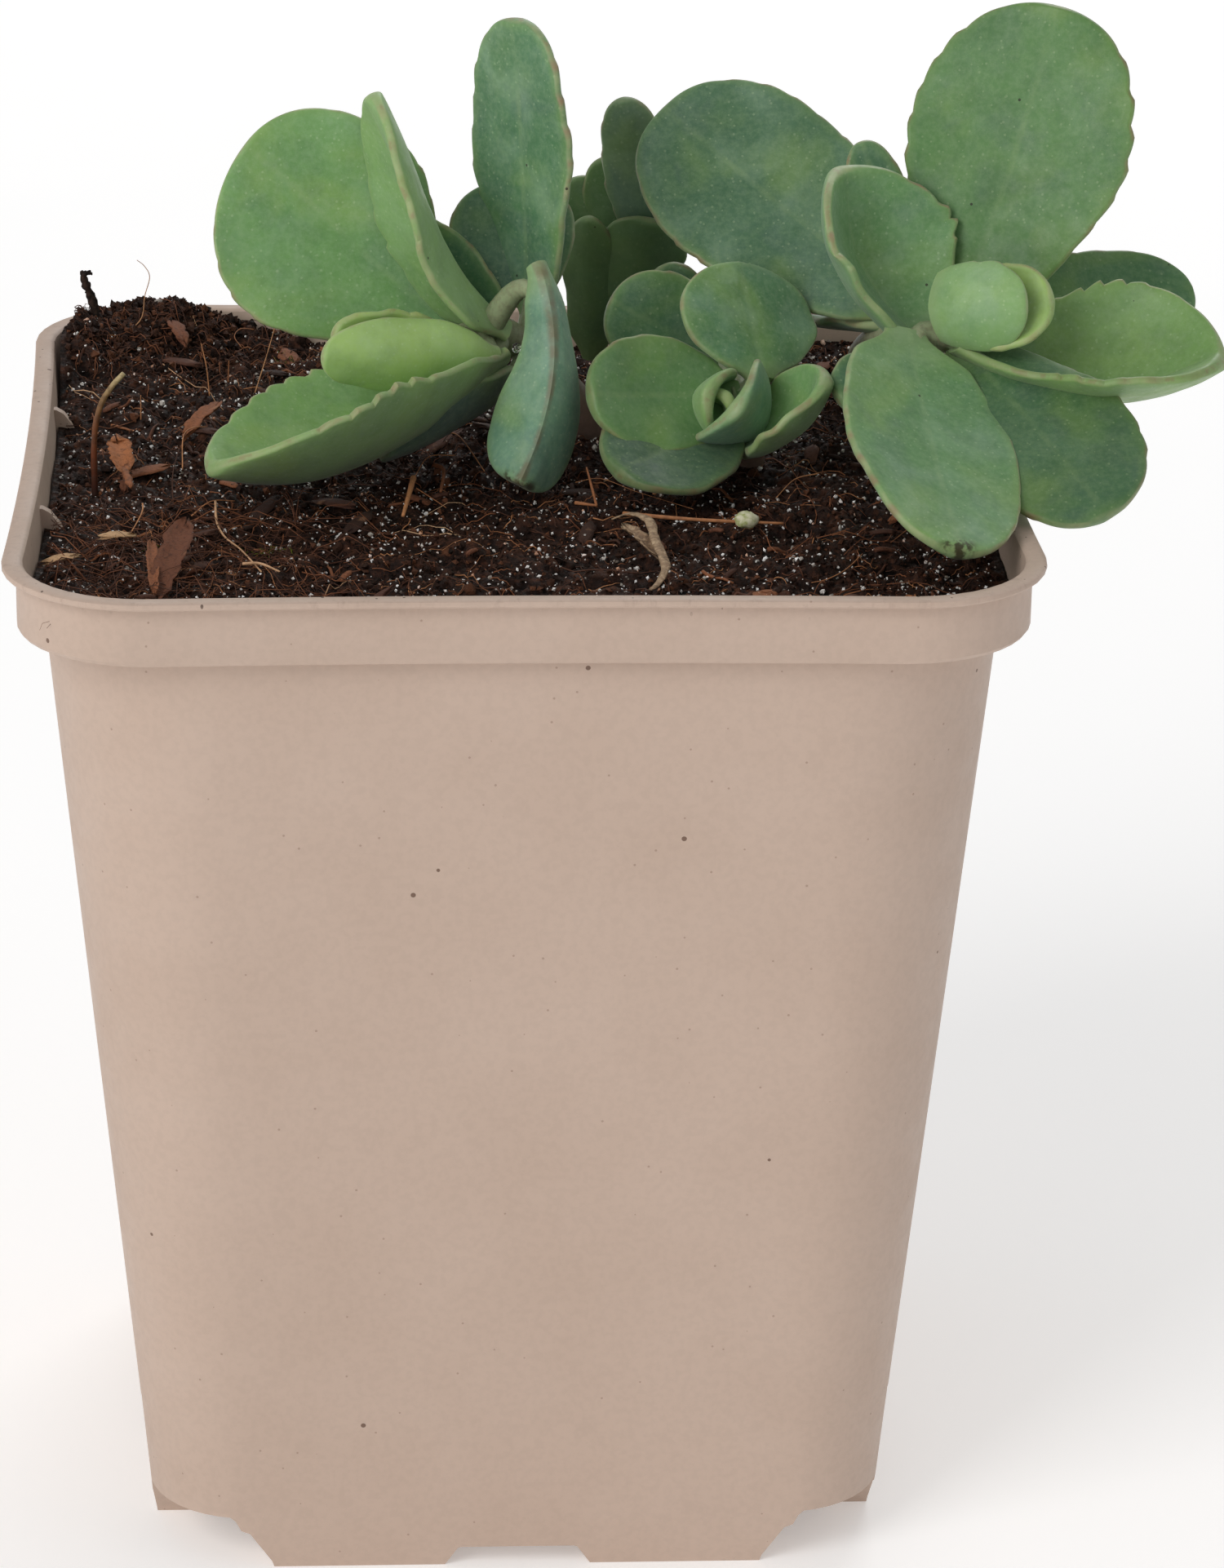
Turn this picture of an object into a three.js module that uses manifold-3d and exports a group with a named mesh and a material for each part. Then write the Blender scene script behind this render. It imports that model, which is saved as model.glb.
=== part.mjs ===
// Potted sedum: a square nursery pot, its growing medium, four leafy shoots and loose bits on the soil.
// Millimetres, +Z up. The pot stands on z = 0; the plant leans over its right side.
import * as THREE from "three";
import { mergeVertices } from "three/addons/utils/BufferGeometryUtils.js";
import Module from "manifold-3d";

const wasm = await Module();
wasm.setup();

// Driving dimensions of the pot, a 9 cm square nursery pot
const POT_HEIGHT = 98;
const POT_FOOT_HALF = 33.4;
const POT_SHOULDER_HALF = 41.8;
const POT_FOOT_CORNER = 9;
const POT_SHOULDER_CORNER = 14.9;
const POT_WALL = 1.3;
const BAND_BOTTOM = 91.8;
const BAND_HALF = 43.8;
const BAND_CORNER = 11.2;
const LIP_HALF = 45;
const LIP_CORNER = 12.2;
const LIP_BOTTOM = 97.3;
const MOUTH_HALF = 43.1;
const MOUTH_CORNER = 10.5;
const SIDE_BOW = 0.6;
const FLOOR_UNDERSIDE = 5.3;
const FLOOR_TOP = 6.6;

// Feet cut from the bottom edge, two on each side
const FOOT_INNER_END = 6.7;
const FOOT_OUTER_END = 22.4;
const FOOT_END_SLANT = 3;
const FOOT_DEPTH = 4.5;
const CENTRE_GAP_HEIGHT = 1.9;
const CENTRE_GAP_SLANT = 1.3;
const DRAIN_RADIUS = 3.5;
const DRAIN_OFFSET = 20;

// Stacking lugs, two on each inner side
const LUG_OFFSET = 14.7;
const LUG_THICKNESS = 1;
const LUG_REACH = 2.8;
const LUG_TOP = 96.6;
const LUG_BOTTOM = 92.2;

// Growing medium, stems and the clearance between neighbours
const GAP = 0.3;
const SOIL_LEVEL = 95;
const SOIL_RINGS = 9;

// Leaf blades and the stalks that carry them
const BLADE_EDGE = 0.7;
const BLADE_MIDDLE = 1.7;
const BLADE_THINNEST_MIDDLE = 0.9;
const BLADE_MIDDLE_PER_WIDTH = 0.06;
const TOOTH_START = 0.3;
const TOOTH_DEPTH = 0.05;
const TIP_CUT = 0.955;
const NECK_LENGTH = 0.16;
const MARGIN_HALF_WAVES = 5;
const MARGIN_WAVE_SHIFT = 1.9;
const MARGIN_WAVE_FADE = 1.2;
const ROW_PITCH = 2.2;
const FEWEST_ROWS = 6;
const MOST_ROWS = 12;
const LOWER_ROW_SHARE = 0.42;
const STALK_START_RADIUS = 1.4;
const STALK_END_RADIUS = 0.7;
const STALK_SUNK = 0.12;
const STALK_BEND = 0.35;

// The plant overhangs to the right, so the pot sits left of the model's origin
const POT_X = -9.6;

const vector = (list) => new THREE.Vector3(list[0], list[1], list[2]);
const radians = THREE.MathUtils.degToRad;
const mix = THREE.MathUtils.lerp;

// Closed meshes and solids; edges shorter than this are drawn together where solids are joined
const JOIN_TOLERANCE = 0.03;

function meshGeometry(points, triangles) {
  const geometry = new THREE.BufferGeometry();
  const numbers = points.flatMap((point) => [point.x, point.y, point.z]);
  geometry.setAttribute("position", new THREE.Float32BufferAttribute(numbers, 3));
  geometry.setIndex(triangles.flat());
  return geometry;
}

function solid(geometry) {
  const bare = geometry.clone();
  bare.deleteAttribute("normal");
  bare.deleteAttribute("uv");
  const merged = mergeVertices(bare, 1e-4);
  return new wasm.Manifold(new wasm.Mesh({
    numProp: 3,
    vertProperties: new Float32Array(merged.attributes.position.array),
    triVerts: new Uint32Array(merged.index.array),
  }));
}

function solidMesh(name, body, material) {
  const result = body.getMesh();
  const geometry = new THREE.BufferGeometry();
  geometry.setAttribute("position", new THREE.BufferAttribute(new Float32Array(result.vertProperties), 3));
  geometry.setIndex(new THREE.BufferAttribute(new Uint32Array(result.triVerts), 1));
  geometry.computeVertexNormals();
  const mesh = new THREE.Mesh(geometry, material);
  mesh.name = name;
  return mesh;
}

// The largest body of a joined solid: a hollow sealed by the joining is filled and loose scraps go
function oneBody(body) {
  const pieces = body.setTolerance(JOIN_TOLERANCE).decompose();
  return pieces.reduce((best, piece) => (piece.volume() > best.volume() ? piece : best));
}

// A loft skins a list of rings that run anticlockwise seen from the last ring, with a fan at each end
function loft(rings) {
  const count = rings[0].length;
  const points = rings.flat();
  const triangles = [];
  for (let row = 0; row + 1 < rings.length; row += 1) {
    for (let i = 0; i < count; i += 1) {
      const a = row * count + i;
      const b = row * count + ((i + 1) % count);
      triangles.push([a, b, b + count], [a, b + count, a + count]);
    }
  }
  for (const row of [0, rings.length - 1]) {
    const middle = new THREE.Vector3();
    rings[row].forEach((point) => middle.addScaledVector(point, 1 / count));
    const centre = points.push(middle) - 1;
    for (let i = 0; i < count; i += 1) {
      const a = row * count + i;
      const b = row * count + ((i + 1) % count);
      triangles.push(row === 0 ? [centre, b, a] : [centre, a, b]);
    }
  }
  return solid(meshGeometry(points, triangles));
}

// A path lengthened at both ends
function lengthened(path, extra) {
  const points = path.map(vector);
  const first = points[0].clone().sub(points[1]).setLength(extra);
  const last = points.at(-1).clone().sub(points.at(-2)).setLength(extra);
  return [points[0].clone().add(first), ...points.slice(1, -1), points.at(-1).clone().add(last)];
}

// A round rod through the given points, its radius running evenly from one end to the other
function rod(path, startRadius, endRadius, sides, steps, extra = 0) {
  const curve = new THREE.CatmullRomCurve3(lengthened(path, extra));
  const frames = curve.computeFrenetFrames(steps, false);
  const rings = [];
  for (let step = 0; step <= steps; step += 1) {
    const centre = curve.getPoint(step / steps);
    const radius = mix(startRadius, endRadius, step / steps);
    const ring = [];
    for (let i = 0; i < sides; i += 1) {
      const turn = (2 * Math.PI * i) / sides;
      const point = centre.clone();
      point.addScaledVector(frames.normals[step], radius * Math.cos(turn));
      point.addScaledVector(frames.binormals[step], radius * Math.sin(turn));
      ring.push(point);
    }
    rings.push(ring);
  }
  return loft(rings);
}

// A plate cut to an outline in one side's own plane, pushed outwards through that side
function sidePlate(outline, nearDepth, farDepth, side) {
  const shape = new THREE.Shape(outline.map(([along, up]) => new THREE.Vector2(along, up)));
  const geometry = new THREE.ExtrudeGeometry(shape, { depth: farDepth - nearDepth, bevelEnabled: false });
  geometry.translate(0, 0, nearDepth);
  geometry.rotateX(Math.PI / 2);
  geometry.rotateZ((side * Math.PI) / 2);
  return solid(geometry);
}

// Square ring with rounded corners; its sides bow inwards by the given amount
const CORNER_STEPS = 5;
const SIDE_STATIONS = [-1, -0.34, 0.34, 1];

function squareRing(half, corner, height, bow) {
  const flat = half - corner;
  const ring = [];
  for (let side = 0; side < 4; side += 1) {
    const turn = new THREE.Matrix4().makeRotationZ((side * Math.PI) / 2);
    for (const station of SIDE_STATIONS) {
      const outwards = half - bow * (1 - station * station);
      ring.push(new THREE.Vector3(outwards, station * flat, height).applyMatrix4(turn));
    }
    for (let step = 1; step < CORNER_STEPS; step += 1) {
      const angle = (Math.PI / 2) * (step / CORNER_STEPS);
      const x = flat + corner * Math.cos(angle);
      const y = flat + corner * Math.sin(angle);
      ring.push(new THREE.Vector3(x, y, height).applyMatrix4(turn));
    }
  }
  return ring;
}

// Half width and corner radius of the tapering outer wall at a height
function wallAt(height) {
  const share = height / BAND_BOTTOM;
  return [mix(POT_FOOT_HALF, POT_SHOULDER_HALF, share), mix(POT_FOOT_CORNER, POT_SHOULDER_CORNER, share)];
}

// The space inside the pot, drawn in by a clearance all round
function potInside(clearance, top) {
  const [floorHalf, floorCorner] = wallAt(FLOOR_TOP);
  const [neckHalf, neckCorner] = wallAt(BAND_BOTTOM - 1.2);
  const inset = POT_WALL + clearance;
  return [
    squareRing(floorHalf - inset, floorCorner - inset, FLOOR_TOP + clearance, 0),
    squareRing(neckHalf - inset, neckCorner - inset, BAND_BOTTOM - 1.2 + clearance, SIDE_BOW / 2),
    squareRing(BAND_HALF - inset, BAND_CORNER - inset, BAND_BOTTOM + 0.8 + clearance, SIDE_BOW),
    squareRing(MOUTH_HALF - clearance, MOUTH_CORNER - clearance, top, SIDE_BOW),
  ];
}

function footCutters(side) {
  const outside = POT_FOOT_HALF + 3;
  const near = POT_FOOT_HALF - FOOT_DEPTH - GAP;
  const corner = (way) => [
    [way * 50, -1],
    [way * 50, FLOOR_UNDERSIDE],
    [way * (FOOT_OUTER_END + FOOT_END_SLANT), FLOOR_UNDERSIDE],
    [way * FOOT_OUTER_END, 0],
    [way * FOOT_OUTER_END, -1],
  ];
  const middle = [
    [-FOOT_INNER_END, -1],
    [FOOT_INNER_END, -1],
    [FOOT_INNER_END, 0],
    [FOOT_INNER_END - CENTRE_GAP_SLANT, CENTRE_GAP_HEIGHT],
    [CENTRE_GAP_SLANT - FOOT_INNER_END, CENTRE_GAP_HEIGHT],
    [-FOOT_INNER_END, 0],
  ];
  return [corner(-1), corner(1), middle].map((outline) => sidePlate(outline, near, outside, side));
}

// A stacking lug: a thin fin on the inner wall whose top edge slopes down to a rounded nose
function lug(side, way, growth) {
  const root = BAND_HALF - POT_WALL - SIDE_BOW / 2 + 0.8;
  const outline = [
    [root, LUG_TOP + growth],
    [root - 1.2, LUG_TOP + growth],
    [root - LUG_REACH + 0.2 - growth, LUG_TOP - 1.2],
    [root - LUG_REACH - 0.6 - growth, LUG_TOP - 2.8],
    [root - LUG_REACH - growth, LUG_TOP - 4],
    [root - 2 - growth, LUG_BOTTOM - growth],
    [root, LUG_BOTTOM - growth],
  ];
  const shape = new THREE.Shape(outline.map(([x, y]) => new THREE.Vector2(x, y)));
  const thickness = LUG_THICKNESS + 2 * growth;
  const geometry = new THREE.ExtrudeGeometry(shape, { depth: thickness, bevelEnabled: false });
  geometry.translate(0, 0, -thickness / 2);
  geometry.rotateX(Math.PI / 2);
  geometry.translate(0, way * LUG_OFFSET, 0);
  geometry.rotateZ((side * Math.PI) / 2);
  return solid(geometry);
}

const SIDES = [0, 1, 2, 3];

function lugs(growth) {
  return SIDES.flatMap((side) => [lug(side, -1, growth), lug(side, 1, growth)]);
}

function drainHole(x, y) {
  const geometry = new THREE.CylinderGeometry(DRAIN_RADIUS, DRAIN_RADIUS, FLOOR_TOP * 2, 12);
  geometry.rotateX(Math.PI / 2);
  geometry.translate(x, y, FLOOR_TOP);
  return solid(geometry);
}

function pot() {
  const outside = [
    squareRing(POT_FOOT_HALF, POT_FOOT_CORNER, 0, 0),
    squareRing(POT_SHOULDER_HALF, POT_SHOULDER_CORNER, BAND_BOTTOM, SIDE_BOW / 2),
    squareRing(BAND_HALF - 0.3, BAND_CORNER, BAND_BOTTOM, SIDE_BOW),
    squareRing(BAND_HALF, BAND_CORNER, BAND_BOTTOM + 0.4, SIDE_BOW),
    squareRing(BAND_HALF, BAND_CORNER, LIP_BOTTOM, SIDE_BOW),
    squareRing(LIP_HALF - 0.2, LIP_CORNER, LIP_BOTTOM, SIDE_BOW),
    squareRing(LIP_HALF, LIP_CORNER, LIP_BOTTOM + 0.4, SIDE_BOW),
    squareRing(LIP_HALF, LIP_CORNER, POT_HEIGHT - 0.8, SIDE_BOW),
    squareRing(LIP_HALF - 0.3, LIP_CORNER - 0.3, POT_HEIGHT - 0.2, SIDE_BOW),
    squareRing(LIP_HALF - 0.8, LIP_CORNER - 0.8, POT_HEIGHT, SIDE_BOW),
  ];
  const recess = [-1, FLOOR_UNDERSIDE].map((height) => squareRing(POT_FOOT_HALF - FOOT_DEPTH, 6, height, 0));
  let body = loft(outside).subtract(loft(potInside(0, POT_HEIGHT + 1))).subtract(loft(recess));
  for (const side of SIDES) {
    for (const cutter of footCutters(side)) {
      body = body.subtract(cutter);
    }
  }
  for (const fin of lugs(0)) {
    body = body.add(fin);
  }
  const drains = [[0, 0], [1, 1], [1, -1], [-1, 1], [-1, -1]];
  for (const [across, along] of drains) {
    body = body.subtract(drainHole(across * DRAIN_OFFSET, along * DRAIN_OFFSET));
  }
  return body;
}

// Leaves
// Each leaf runs from root to tip; face is the way its upper side looks. widest is where along the
// leaf it is broadest, foot the share of the width left at the root, swell how fast it broadens,
// blunt how square the end is. crease and curl fold each half up, in degrees from root to tip;
// rise and side bend the midrib towards the face and sideways, in millimetres.
const LEAF = {
  width: 8,
  widest: 0.6,
  foot: 0.3,
  neck: 0.5,
  swell: 1.3,
  blunt: 2.2,
  crease: [10, 5],
  curl: [15, 8],
  rise: [0, 0],
  side: [0, 0],
  lean: 0,
  wave: 0.2,
};

const LEFT_LEAVES = [
  { root: [-1.5, 9, 105], tip: [-24.5, 14.5, 122], width: 21.5, face: [0.1, -1, 0.3], widest: 0.62,
    foot: 0.22, swell: 2.6, blunt: 2.1, crease: [8, 2], curl: [10, 3], rise: [-1, -1], side: [3, -0.2],
    lean: 0.08, wave: 0.4 },
  { root: [2, 9.5, 107.5], tip: [-1, 15, 118.5], width: 12, face: [0.15, -1, 0.35], crease: [8, 4],
    curl: [10, 8] },
  { root: [0, 8.5, 106], tip: [-10.5, 11.5, 116], width: 6.5, face: [-0.55, -1, 0.6], widest: 0.5,
    crease: [12, 6], curl: [12, 8] },
  { root: [2, 8.5, 106.5], tip: [0.5, 10, 135], width: 13.5, face: [-1, -0.8, 0.3], widest: 0.58,
    foot: 0.35, blunt: 2.3, crease: [6, 3], curl: [10, 4], rise: [-1, -1], side: [0.4, 0.4] },
  { root: [-0.5, 5.5, 107], tip: [-12.8, 6, 129], width: 15, face: [-1, -0.25, 0], widest: 0.5,
    foot: 0.6, blunt: 2, crease: [23, 8], curl: [22, 12], rise: [4, 0] },
  { root: [-2, 2.5, 105.5], tip: [-16.5, -3, 109], width: 6.5, face: [-0.05, -1, 0.15], widest: 0.55,
    foot: 0.5, crease: [15, 8], curl: [24, 16], rise: [-1, -1] },
  { root: [-1.5, 1, 106], tip: [-17.5, -6.5, 108], width: 7.5, face: [0.05, 1, -0.05], widest: 0.5,
    foot: 0.4, crease: [6, 3], curl: [45, 35], rise: [-1, -1] },
  { root: [-1, 3.5, 105], tip: [-27.5, -13.5, 100], width: 24, face: [-0.1, 0, 1], widest: 0.58,
    foot: 0.4, blunt: 1.95, crease: [33, 24], curl: [32, 28], rise: [-4, -7], side: [0, 1], lean: 0.12 },
  { root: [1, 5.5, 103], tip: [-12, -3, 98], width: 12, face: [0.05, 0.9, 1], foot: 0.4, crease: [5, 5],
    curl: [10, 10], rise: [-1, -1] },
  { root: [2, -1, 115], tip: [0, -11.5, 97.5], width: 12, face: [-0.15, 1, -0.35], widest: 0.7,
    foot: 0.4, swell: 3.4, blunt: 2.5, crease: [46, 43], curl: [14, 12], rise: [-1.5, -1],
    side: [-2.8, -2.6], wave: 0 },
];

const BACK_LEAVES = [
  { root: [15.5, 27, 103.5], tip: [11, 24.5, 124], width: 7, face: [0.25, 1, -0.35], crease: [8, 4],
    curl: [12, 8] },
  { root: [14.5, 29, 102], tip: [9.5, 29.5, 117], width: 7, face: [-0.25, -1, 0.35], crease: [8, 4],
    curl: [12, 8] },
  { root: [13.5, 29, 101.5], tip: [6, 30, 114.5], width: 8.5, face: [-0.2, -1, 0.6], crease: [8, 4],
    curl: [12, 8] },
  { root: [11.5, 26, 102.5], tip: [14, 23.5, 112.5], width: 9, face: [-0.05, 1, -0.35], widest: 0.55,
    crease: [8, 4], curl: [20, 12] },
  { root: [8.5, 28, 97.5], tip: [8, 24.5, 112.5], width: 6, face: [0.35, 1, -0.35], widest: 0.55,
    foot: 0.65, blunt: 2, crease: [10, 6], curl: [25, 15] },
];

const FRONT_LEAVES = [
  { root: [18.5, 14, 103], tip: [14, 14, 110.5], width: 6, face: [-0.05, -1, 0.35] },
  { root: [21, 8, 102.5], tip: [9, 7.5, 109], width: 11, face: [0.05, -1, 0.6], widest: 0.55,
    crease: [8, 4], curl: [10, 6] },
  { root: [22.5, -1, 104], tip: [20.5, 6.5, 113], width: 14.5, face: [0.5, -0.65, 1], widest: 0.5,
    foot: 0.4, blunt: 2, crease: [4, 2], curl: [-4, -6], lean: -0.02 },
  { root: [20, -1, 100], tip: [9, -13.5, 99], width: 12, face: [-0.05, -0.8, 1], widest: 0.55,
    foot: 0.4, crease: [8, 4], curl: [8, 4] },
  { root: [21, -3, 98], tip: [28, -7, 106], width: 11.5, face: [-0.1, -0.3, 1], widest: 0.5, foot: 0.6,
    crease: [22, 14], curl: [36, 30], rise: [-2, -2] },
  { root: [20.5, -2, 103], tip: [6.5, -7.5, 104.5], width: 12, face: [-0.05, -1, 0.75], widest: 0.55,
    foot: 0.45, crease: [6, 3], curl: [14, 10], rise: [-0.8, -0.8] },
  { root: [22.5, -0.5, 99.5], tip: [19.5, -9.5, 104], width: 12, face: [-1, 0.05, 0.8], widest: 0.45,
    foot: 0.7, neck: 1, crease: [14, 8], curl: [60, 50], rise: [-1, -1], wave: 0 },
  { root: [17, -0.5, 101.5], tip: [17.5, -7, 104.5], width: 9, face: [1, -0.5, -0.1], widest: 0.45,
    foot: 0.8, neck: 1, crease: [12, 8], curl: [65, 55], rise: [-0.7, -0.7], wave: 0 },
  { root: [19, -1, 101], tip: [19, -6, 104], width: 5, face: [-1, -0.65, -0.8], widest: 0.45, foot: 0.8,
    neck: 1, crease: [12, 8], curl: [65, 55], rise: [-0.3, -0.3], wave: 0 },
];

const RIGHT_LEAVES = [
  { root: [41.5, 2.5, 108], tip: [63.5, 9.5, 109.5], width: 11, face: [-0.05, -0.95, 1], widest: 0.55 },
  { root: [40, -0.5, 108.5], tip: [49.5, 7, 137], width: 21, face: [-0.35, -1, 0.35], blunt: 2.1,
    crease: [8, 2], curl: [8, 3], rise: [-1, -1], side: [-0.5, -0.5], wave: 0.4 },
  { root: [37.5, 3.5, 108], tip: [32, 8.5, 124], width: 6, face: [-0.05, -1, 0.35] },
  { root: [37.5, 6.5, 108], tip: [14.5, 22, 123.5], width: 19, face: [0.3, -1, 0.4], foot: 0.35,
    blunt: 2.35, crease: [5, 2], curl: [8, 4], rise: [-1, -1], wave: 0.4 },
  { root: [37, -5, 108], tip: [29.5, 1, 123.5], width: 21, face: [0.9, -0.95, 0.4], widest: 0.55,
    foot: 0.45, blunt: 2.3, crease: [28, 20], curl: [38, 30], rise: [-4, -5] },
  { root: [36.5, 3.5, 107.5], tip: [29.5, 17, 104.5], width: 7, face: [0, 0.15, 1] },
  { root: [38, -2, 105.5], tip: [29, -7, 104], width: 8, face: [-0.05, -0.8, 1] },
  { root: [40, -5, 108], tip: [51, -26, 99], width: 16, face: [0.05, -0.95, 1], foot: 0.35,
    crease: [5, 2], curl: [6, 3], rise: [1, 1], lean: 0.04 },
  { root: [35, -6.5, 110], tip: [37, -35, 99], width: 17, face: [0.4, -0.45, 1], widest: 0.5, foot: 0.5,
    crease: [8, 2], curl: [12, 10], rise: [-1, -1], lean: -0.04 },
  { root: [39.5, -6, 109], tip: [63.5, -10.5, 109], width: 22, face: [-0.05, -0.3, 1], foot: 0.4,
    blunt: 2.3, crease: [32, 22], curl: [32, 26], rise: [-6, -6] },
  { root: [39.5, -5.5, 110.5], tip: [48, -8.5, 114], width: 9, face: [-0.3, -1, 0.75], widest: 0.55,
    foot: 0.5, neck: 1, crease: [10, 5], curl: [40, 30], rise: [-0.6, -0.6], wave: 0 },
  { root: [37.5, -6.5, 112.5], tip: [45.5, -10.5, 114], width: 9, face: [0.05, 1, -0.25], widest: 0.5,
    foot: 0.75, neck: 1, swell: 0.8, crease: [6, 3], curl: [42, 34], rise: [-1.2, -1.2], wave: 0 },
];

// Share of the full half width at a place u along the leaf, from 0 at the root to 1 at the tip
function outlineShare(leaf, u) {
  const neck = mix(leaf.neck, 1, THREE.MathUtils.smoothstep(u, 0, NECK_LENGTH));
  if (u < leaf.widest) {
    const growth = Math.sin((Math.PI / 2) * (u / leaf.widest)) ** leaf.swell;
    return neck * mix(leaf.foot, 1, growth);
  }
  const end = (u - leaf.widest) / (1 - leaf.widest);
  return (1 - end ** leaf.blunt) ** (1 / leaf.blunt);
}

// Midrib point and the directions along it, out of its face and across it
function midribAt(leaf, u) {
  const root = vector(leaf.root);
  const along = vector(leaf.tip).sub(root);
  const length = along.length();
  along.normalize();
  const up = vector(leaf.face);
  up.addScaledVector(along, -up.dot(along)).normalize();
  const across = up.clone().cross(along);
  const early = 3 * u * (1 - u) ** 2;
  const late = 3 * u * u * (1 - u);
  const earlySlope = 3 * (1 - u) * (1 - 3 * u);
  const lateSlope = 3 * u * (2 - 3 * u);
  const point = root.addScaledVector(along, length * u);
  point.addScaledVector(up, leaf.rise[0] * early + leaf.rise[1] * late);
  point.addScaledVector(across, leaf.side[0] * early + leaf.side[1] * late);
  const forward = along.clone().multiplyScalar(length);
  forward.addScaledVector(up, leaf.rise[0] * earlySlope + leaf.rise[1] * lateSlope);
  forward.addScaledVector(across, leaf.side[0] * earlySlope + leaf.side[1] * lateSlope);
  forward.normalize();
  const normal = up.clone().addScaledVector(forward, -up.dot(forward)).normalize();
  return { point, normal, sideways: normal.clone().cross(forward) };
}

// A point on the leaf's middle surface, v running from -1 at one margin to 1 at the other
function leafPoint(leaf, u, v, pull) {
  const { point, normal, sideways } = midribAt(leaf, u);
  const way = v < 0 ? -1 : 1;
  const share = outlineShare(leaf, u);
  const halfWidth = (leaf.width / 2) * share * (1 + leaf.lean * way) * (1 - pull);
  const distance = Math.abs(v) * halfWidth;
  const crease = radians(mix(leaf.crease[0], leaf.crease[1], u));
  const bend = radians(mix(leaf.curl[0], leaf.curl[1], u)) / (leaf.width / 2);
  const slope = crease + bend * distance;
  const reach = (Math.sin(slope) - Math.sin(crease)) / bend;
  const lift = (Math.cos(crease) - Math.cos(slope)) / bend;
  const face = normal.clone();
  if (v !== 0) {
    face.multiplyScalar(Math.cos(slope)).addScaledVector(sideways, -way * Math.sin(slope));
  }
  const turn = MARGIN_HALF_WAVES * Math.PI * u + (way < 0 ? MARGIN_WAVE_SHIFT : 0);
  const wave = leaf.wave * Math.abs(v) ** 3 * Math.sin(turn) * Math.min(1, share * MARGIN_WAVE_FADE);
  point.addScaledVector(sideways, way * reach).addScaledVector(normal, lift).addScaledVector(face, wave);
  return { point, face };
}

const WIDE_COLUMNS = [-1, -0.5, 0, 0.5, 1];
const NARROW_COLUMNS = [-1, 0, 1];
const NARROW_WIDTH = 8.5;

function stationsAlong(leaf) {
  const length = vector(leaf.root).distanceTo(vector(leaf.tip));
  const rows = THREE.MathUtils.clamp(Math.round(length / ROW_PITCH), FEWEST_ROWS, MOST_ROWS);
  const lower = Math.round(rows * LOWER_ROW_SHARE);
  const upper = rows - lower;
  const stations = [];
  for (let i = 0; i < lower; i += 1) {
    stations.push((leaf.widest * i) / lower);
  }
  for (let i = 0; i <= upper; i += 1) {
    stations.push(mix(leaf.widest, 1, Math.sin((Math.PI / 2) * TIP_CUT * (i / upper))));
  }
  return stations;
}

// One fleshy blade with blunt teeth, its two faces split into triangles alike
function leafBlade(shape) {
  const leaf = { ...LEAF, ...shape };
  const places = leaf.width < NARROW_WIDTH ? NARROW_COLUMNS : WIDE_COLUMNS;
  const columns = places.length;
  const stations = stationsAlong(leaf);
  const middle = Math.min(BLADE_MIDDLE, BLADE_THINNEST_MIDDLE + leaf.width * BLADE_MIDDLE_PER_WIDTH);
  const upper = [];
  const lower = [];
  stations.forEach((u, row) => {
    const notch = u > TOOTH_START && row % 2 === 1 ? TOOTH_DEPTH : 0;
    for (const v of places) {
      const { point, face } = leafPoint(leaf, u, v, Math.abs(v) === 1 ? notch : 0);
      const half = mix(middle, BLADE_EDGE, Math.abs(v) ** 1.5) / 2;
      upper.push(point.clone().addScaledVector(face, half));
      lower.push(point.clone().addScaledVector(face, -half));
    }
  });
  const triangles = [];
  const under = upper.length;
  const patch = (a, b, c, d) => triangles.push([a, b, c], [a, c, d]);
  for (let row = 0; row + 1 < stations.length; row += 1) {
    for (let column = 0; column + 1 < columns; column += 1) {
      const a = row * columns + column;
      const b = a + columns;
      triangles.push([a, b, b + 1], [a, b + 1, a + 1]);
      triangles.push([under + a, under + b + 1, under + b], [under + a, under + a + 1, under + b + 1]);
    }
    const left = row * columns;
    const right = left + columns - 1;
    patch(left, under + left, under + left + columns, left + columns);
    patch(right, right + columns, under + right + columns, under + right);
  }
  const last = (stations.length - 1) * columns;
  for (let column = 0; column + 1 < columns; column += 1) {
    patch(column, column + 1, under + column + 1, under + column);
    const end = last + column;
    patch(end, under + end, under + end + 1, end + 1);
  }
  return solid(meshGeometry([...upper, ...lower], triangles));
}

// Stems

const SHOOTS = {
  left: {
    stem: [[9, 13.5, 82], [9, 13.5, 92], [5, 11, 100], [-0.5, 6.5, 106], [-5, 3, 106.5]],
    radius: 1.8,
    leaves: LEFT_LEAVES,
  },
  back: {
    stem: [[10.5, 30, 84], [10.5, 30, 93], [12, 29.5, 99], [14.5, 28, 104]],
    radius: 1.4,
    leaves: BACK_LEAVES,
  },
  front: {
    stem: [[22, 3, 82], [22, 3, 92], [21.5, 0.5, 99], [20, -2, 103]],
    radius: 1.7,
    leaves: FRONT_LEAVES,
  },
  right: {
    stem: [[34, 25, 82], [33.5, 24, 93], [34, 16.5, 101], [35, 6.5, 106], [38, -3, 108.5], [40, -6.5, 111]],
    radius: 1.8,
    leaves: RIGHT_LEAVES,
  },
};

const STEM_SIDES = 8;
const STEM_STEPS = 8;

function stemRod({ stem, radius }, growth) {
  return rod(stem, radius + growth, radius * 0.85 + growth, STEM_SIDES, STEM_STEPS, growth);
}

function nearestOnStem(stem, point) {
  const curve = new THREE.CatmullRomCurve3(stem.map(vector));
  let nearest = curve.getPoint(0);
  for (const candidate of curve.getPoints(60)) {
    if (candidate.distanceTo(point) < nearest.distanceTo(point)) {
      nearest = candidate;
    }
  }
  return nearest;
}

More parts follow.
